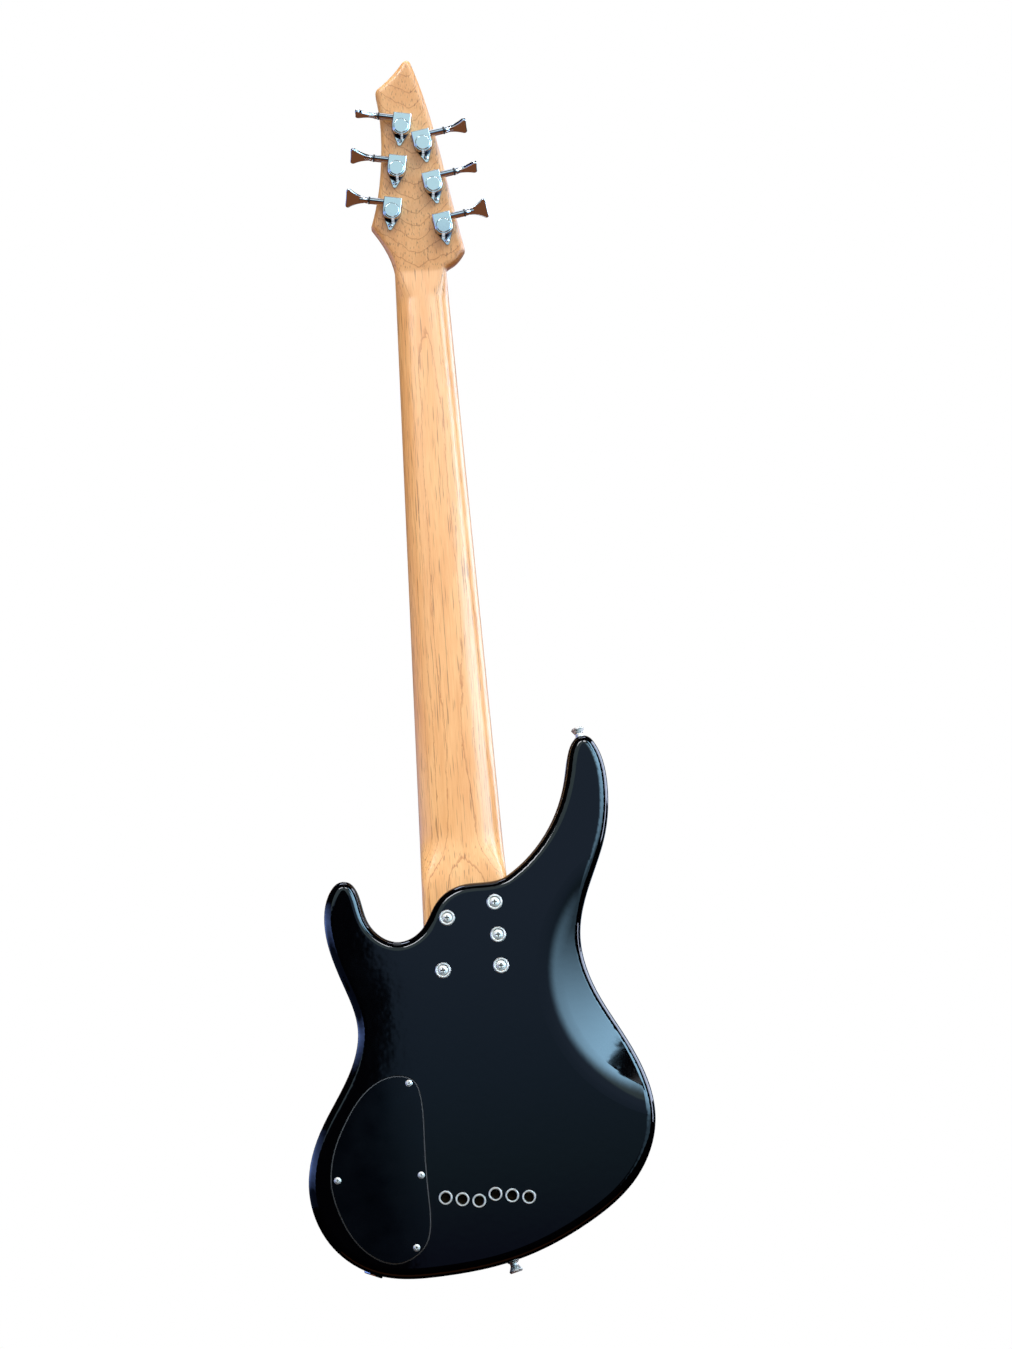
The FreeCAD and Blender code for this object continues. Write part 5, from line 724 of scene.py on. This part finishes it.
# %% Metal pieces
STRINGS = range(1, 7)
CHROMED = [
    "bridge_plate", "bridge_screws", "intonation_screws", "truss_rod_cover_screws",
    "potentiometer_nuts", "output_jack", "strap_button_screws", "tuner_plates", "tuner_housings",
    "tuner_screws", "tuner_bushings", "knob_volume", "knob_blend", "knob_treble", "knob_bass",
    "pickup_screws", *["saddle_%d" % i for i in STRINGS], *["tuner_key_%d" % i for i in STRINGS],
    *["tuner_post_%d" % i for i in STRINGS],
]
NICKELLED = ["neck_bolts", "neck_bolt_cups", "control_cover_screws", "string_ferrules", "strap_buttons"]
METALS = [
    # name, colour, roughness, grain in mm, relief, reach of the painted corner shade in mm, pieces
    # Plated over a polish: a sharp mirror with a faint waviness.
    ("polished_chrome_plate", "#dfe3e6", (0.04, 0.10), 2.2, 0.05, 0.9, CHROMED),
    # Plated over a matt ground: a broad pale shine, with painted shade in the slots.
    ("satin_nickel_plate", "#fff2e4", (0.50, 0.62), 2.2, 0.05, 2.6, NICKELLED),
    # Drawn to a wire, then polished: a warm grey gleam.
    ("nickel_silver_wire", "#cfc8b8", (0.10, 0.22), 3.0, 0.05, 0.9, ["frets"]),
    # Rolled and left bare: grey and dull.
    ("rolled_steel", "#a7a8aa", (0.25, 0.40), 4.0, 0.10, 0.9, ["truss_rod"]),
    # Turned and gone brown with age, and painted nearly black as shade deep in the ferrules.
    ("tarnished_brass", "#241d14", (0.45, 0.60), 2.0, 0.08, 0.9, ["string_ball_ends"]),
    # Pressed and dipped: a mottled light grey.
    ("zinc_plate", "#b9bbb4", (0.30, 0.45), 3.0, 0.10, 0.9, ["potentiometers"]),
    # Wound from varnished wire, drawn coarser than it is so that it shows: reddish and ridged.
    ("enamelled_copper_wire", "#9c5a36", (0.25, 0.40), 0.5, 0.30, 0.9, ["pickup_coils"]),
]
for *look, pieces in METALS:
    dress(metal(*look), *pieces)

# %% [markdown]
# ## Strings
#
# A bass string is a steel core wound with round wire. The winding is 0.4 mm apart,
# which is too fine to show, so it is drawn 1 mm apart, as bands along the neck.

# %% Strings
WINDING_MM = 1.0
WINDING_RELIEF = {"Strength": 0.5, "Distance": 0.15 * MM}
GROOVE_TO_CREST = (-1.0, 1.0)
WIRE_ROUGHNESS = (0.35, 0.2)
WIRE_COLOUR = "#c4c5c3"


def wound_wire():
    """Round-wound nickel-plated steel: a grey gleam broken into fine bands."""
    made, tree, shader, mm = new_material("round_wound_steel")
    place = add(tree, "ShaderNodeSeparateXYZ", [mm])
    turns = add(tree, "ShaderNodeMath", [place.outputs["Z"], 2 * math.pi / WINDING_MM],
                operation="MULTIPLY")
    wave = add(tree, "ShaderNodeMath", [turns.outputs[0]], operation="SINE")
    bump = add(tree, "ShaderNodeBump", {"Height": wave.outputs[0], **WINDING_RELIEF})
    rough = add(tree, "ShaderNodeMapRange", [wave.outputs[0], *GROOVE_TO_CREST, *WIRE_ROUGHNESS])
    fill(shader, {"Base Color": linear(WIRE_COLOUR), "Roughness": rough.outputs[0],
                  "Normal": bump.outputs[0], "Metallic": 1.0})
    return made


dress(wound_wire(), "strings")

# %% [markdown]
# ## Fingerboard: rosewood
#
# Rosewood is left bare and oiled. Its open pores are long dark lines, and its colour
# runs in purple-brown streaks along the board.

# %% Fingerboard
STREAK_SIZE_MM = (6.0, 6.0, 160.0)
ROSEWOOD_PORE_MM = (0.8, 0.8, 14.0)
ROSEWOOD_COLOURS = ("#3a2018", "#6a4030", "#1d0f0b")
ROSEWOOD_PORE_BAND = (0.56, 0.66)
ROSEWOOD_ROUGHNESS = (0.42, 0.7)
ROSEWOOD_RELIEF = {"Strength": 0.3, "Distance": 0.2 * MM}


def oiled_rosewood():
    """Bare rosewood with oil in it: dark, dull in the pores and silky between them."""
    made, tree, shader, mm = new_material("oiled_rosewood")
    noises = []
    for size, detail in ((STREAK_SIZE_MM, 5.0), (ROSEWOOD_PORE_MM, 2.0)):
        scaled = add(tree, "ShaderNodeMapping", {"Vector": mm, "Scale": [1 / side for side in size]})
        noise = add(tree, "ShaderNodeTexNoise",
                    {"Vector": scaled.outputs[0], "Scale": 1.0, "Detail": detail})
        noises.append(noise.outputs["Fac"])
    streak = add(tree, "ShaderNodeMapRange", [noises[0], *NOISE_BAND])
    pore = add(tree, "ShaderNodeMapRange", [noises[1], *ROSEWOOD_PORE_BAND])
    dark, light, deepest = [linear(colour) for colour in ROSEWOOD_COLOURS]
    wood = add(tree, "ShaderNodeMix", {0: streak.outputs[0], 6: dark, 7: light}, data_type="RGBA")
    pored = add(tree, "ShaderNodeMix", {0: pore.outputs[0], 6: wood.outputs[2], 7: deepest},
                data_type="RGBA")
    rough = add(tree, "ShaderNodeMapRange", [pore.outputs[0], *WHOLE, *ROSEWOOD_ROUGHNESS])
    down = add(tree, "ShaderNodeMath", [pore.outputs[0], -1.0], operation="MULTIPLY")
    bump = add(tree, "ShaderNodeBump", {"Height": down.outputs[0], **ROSEWOOD_RELIEF})
    fill(shader, {"Base Color": pored.outputs[2], "Roughness": rough.outputs[0], "Normal": bump.outputs[0]})
    return made


dress(oiled_rosewood(), "fingerboard")

# %% [markdown]
# ## Plastics, bone and pearl
#
# The covers are moulded or cut from plastic sheet, the nut is bone and the dots are
# shell. They differ in colour, gloss and in how coarse their unevenness is, so one
# function makes them from the rows of a table, as with the metals.

# %% Even solids
def even_solid(name, dark, light, roughness, grain_mm, relief):
    """Material with one even grain in colour, gloss and surface."""
    made, tree, shader, mm = new_material(name)
    scaled = add(tree, "ShaderNodeMapping", {"Vector": mm, "Scale": [1 / grain_mm] * 3})
    grain = add(tree, "ShaderNodeTexNoise", {"Vector": scaled.outputs[0], **GRAIN_NOISE})
    spread = add(tree, "ShaderNodeMapRange", [grain.outputs["Fac"], *NOISE_BAND])
    tone = add(tree, "ShaderNodeMix", {0: spread.outputs[0], 6: linear(dark), 7: linear(light)},
               data_type="RGBA")
    rough = add(tree, "ShaderNodeMapRange", [spread.outputs[0], *WHOLE, *roughness])
    bump = add(tree, "ShaderNodeBump",
               {"Height": grain.outputs["Fac"], "Strength": relief, "Distance": RELIEF_DEPTH})
    fill(shader, {"Base Color": tone.outputs[2], "Roughness": rough.outputs[0], "Normal": bump.outputs[0]})
    return made


EVEN_SOLIDS = [
    # name, darkest, lightest, roughness, grain in mm, relief, pieces
    # Moulded washers: black with a low sheen.
    ("black_nylon", "#0a0a0c", "#141416", (0.35, 0.50), 1.0, 0.10, ["tuner_washers"]),
    # Moulded in a sandblasted mould: a fine even matt.
    ("satin_black_abs", "#0b0b0c", "#151516", (0.38, 0.52), 0.7, 0.20,
     ["neck_pickup_cover", "bridge_pickup_cover"]),
    # Sawn and filed: cream, with a soft gleam.
    ("cow_bone", "#e2d8c2", "#f2ead8", (0.30, 0.45), 2.5, 0.10, ["nut"]),
    # Ground flat and polished: pale and cloudy.
    ("pearl_shell", "#d9dcd6", "#f6f4ee", (0.12, 0.30), 1.6, 0.02, ["face_dots", "side_dots"]),
    # Pressed and fired powder: dull dark grey.
    ("ferrite", "#2a2a2c", "#3a3a3d", (0.45, 0.60), 1.0, 0.10, ["pickup_magnets"]),
    # Pressed sheet under green varnish: even and glossy.
    ("glass_fibre_board", "#12442a", "#1c5a38", (0.30, 0.45), 3.0, 0.05, ["preamp_board"]),
    # Thin shrunk film: smooth dark grey.
    ("battery_wrap", "#26262a", "#3a3b40", (0.25, 0.35), 8.0, 0.03, ["battery"]),
    # Extruded round a wire: smooth, nearly black.
    ("pvc_lead", "#141416", "#26262a", (0.35, 0.50), 2.0, 0.05, ["leads"]),
]
for *look, pieces in EVEN_SOLIDS:
    dress(even_solid(*look), *pieces)

# %% [markdown]
# The two covers are cut from polished black sheet. Their edge is painted paler than the
# face: partly the cutter's scrape, and partly a painted highlight where the edge catches
# the light. The face looks along Y, so where the surface turns away from Y the colour goes
# over to grey.

# %% Covers
SHEET_LOOK = ("#020409", "#04070d", (0.06, 0.12), 25.0, 0.01)
EDGE_HIGHLIGHT_COLOUR = "#4b545e"
EDGE_HIGHLIGHT_BAND = (0.95, 0.8)


def black_sheet():
    """Polished black ABS sheet with a paler edge, partly scraped and partly a painted highlight."""
    made = even_solid("polished_black_abs", *SHEET_LOOK)
    tree = made.node_tree
    shader = tree.nodes["Principled BSDF"]
    face_colour = shader.inputs["Base Color"].links[0].from_socket
    # Painted highlight, partly a scraped edge: the edge goes over to grey where it turns away from Y.
    where = add(tree, "ShaderNodeTexCoord", {})
    facing = add(tree, "ShaderNodeSeparateXYZ", [where.outputs["Normal"]])
    along = add(tree, "ShaderNodeMath", [facing.outputs["Y"]], operation="ABSOLUTE")
    edge = add(tree, "ShaderNodeMapRange", [along.outputs[0], *EDGE_HIGHLIGHT_BAND])
    tone = add(tree, "ShaderNodeMix", {0: edge.outputs[0], 6: face_colour, 7: linear(EDGE_HIGHLIGHT_COLOUR)},
               data_type="RGBA")
    fill(shader, {"Base Color": tone.outputs[2]})
    return made


dress(black_sheet(), "control_cover", "truss_rod_cover")

# %% [markdown]
# ## Size
#
# Nothing was moved or resized. The box of the CAD model, read at the start, is printed again.

# %% Finish
print("CAD box", [round(v, 4) for v in (*cad_low, *cad_high)])
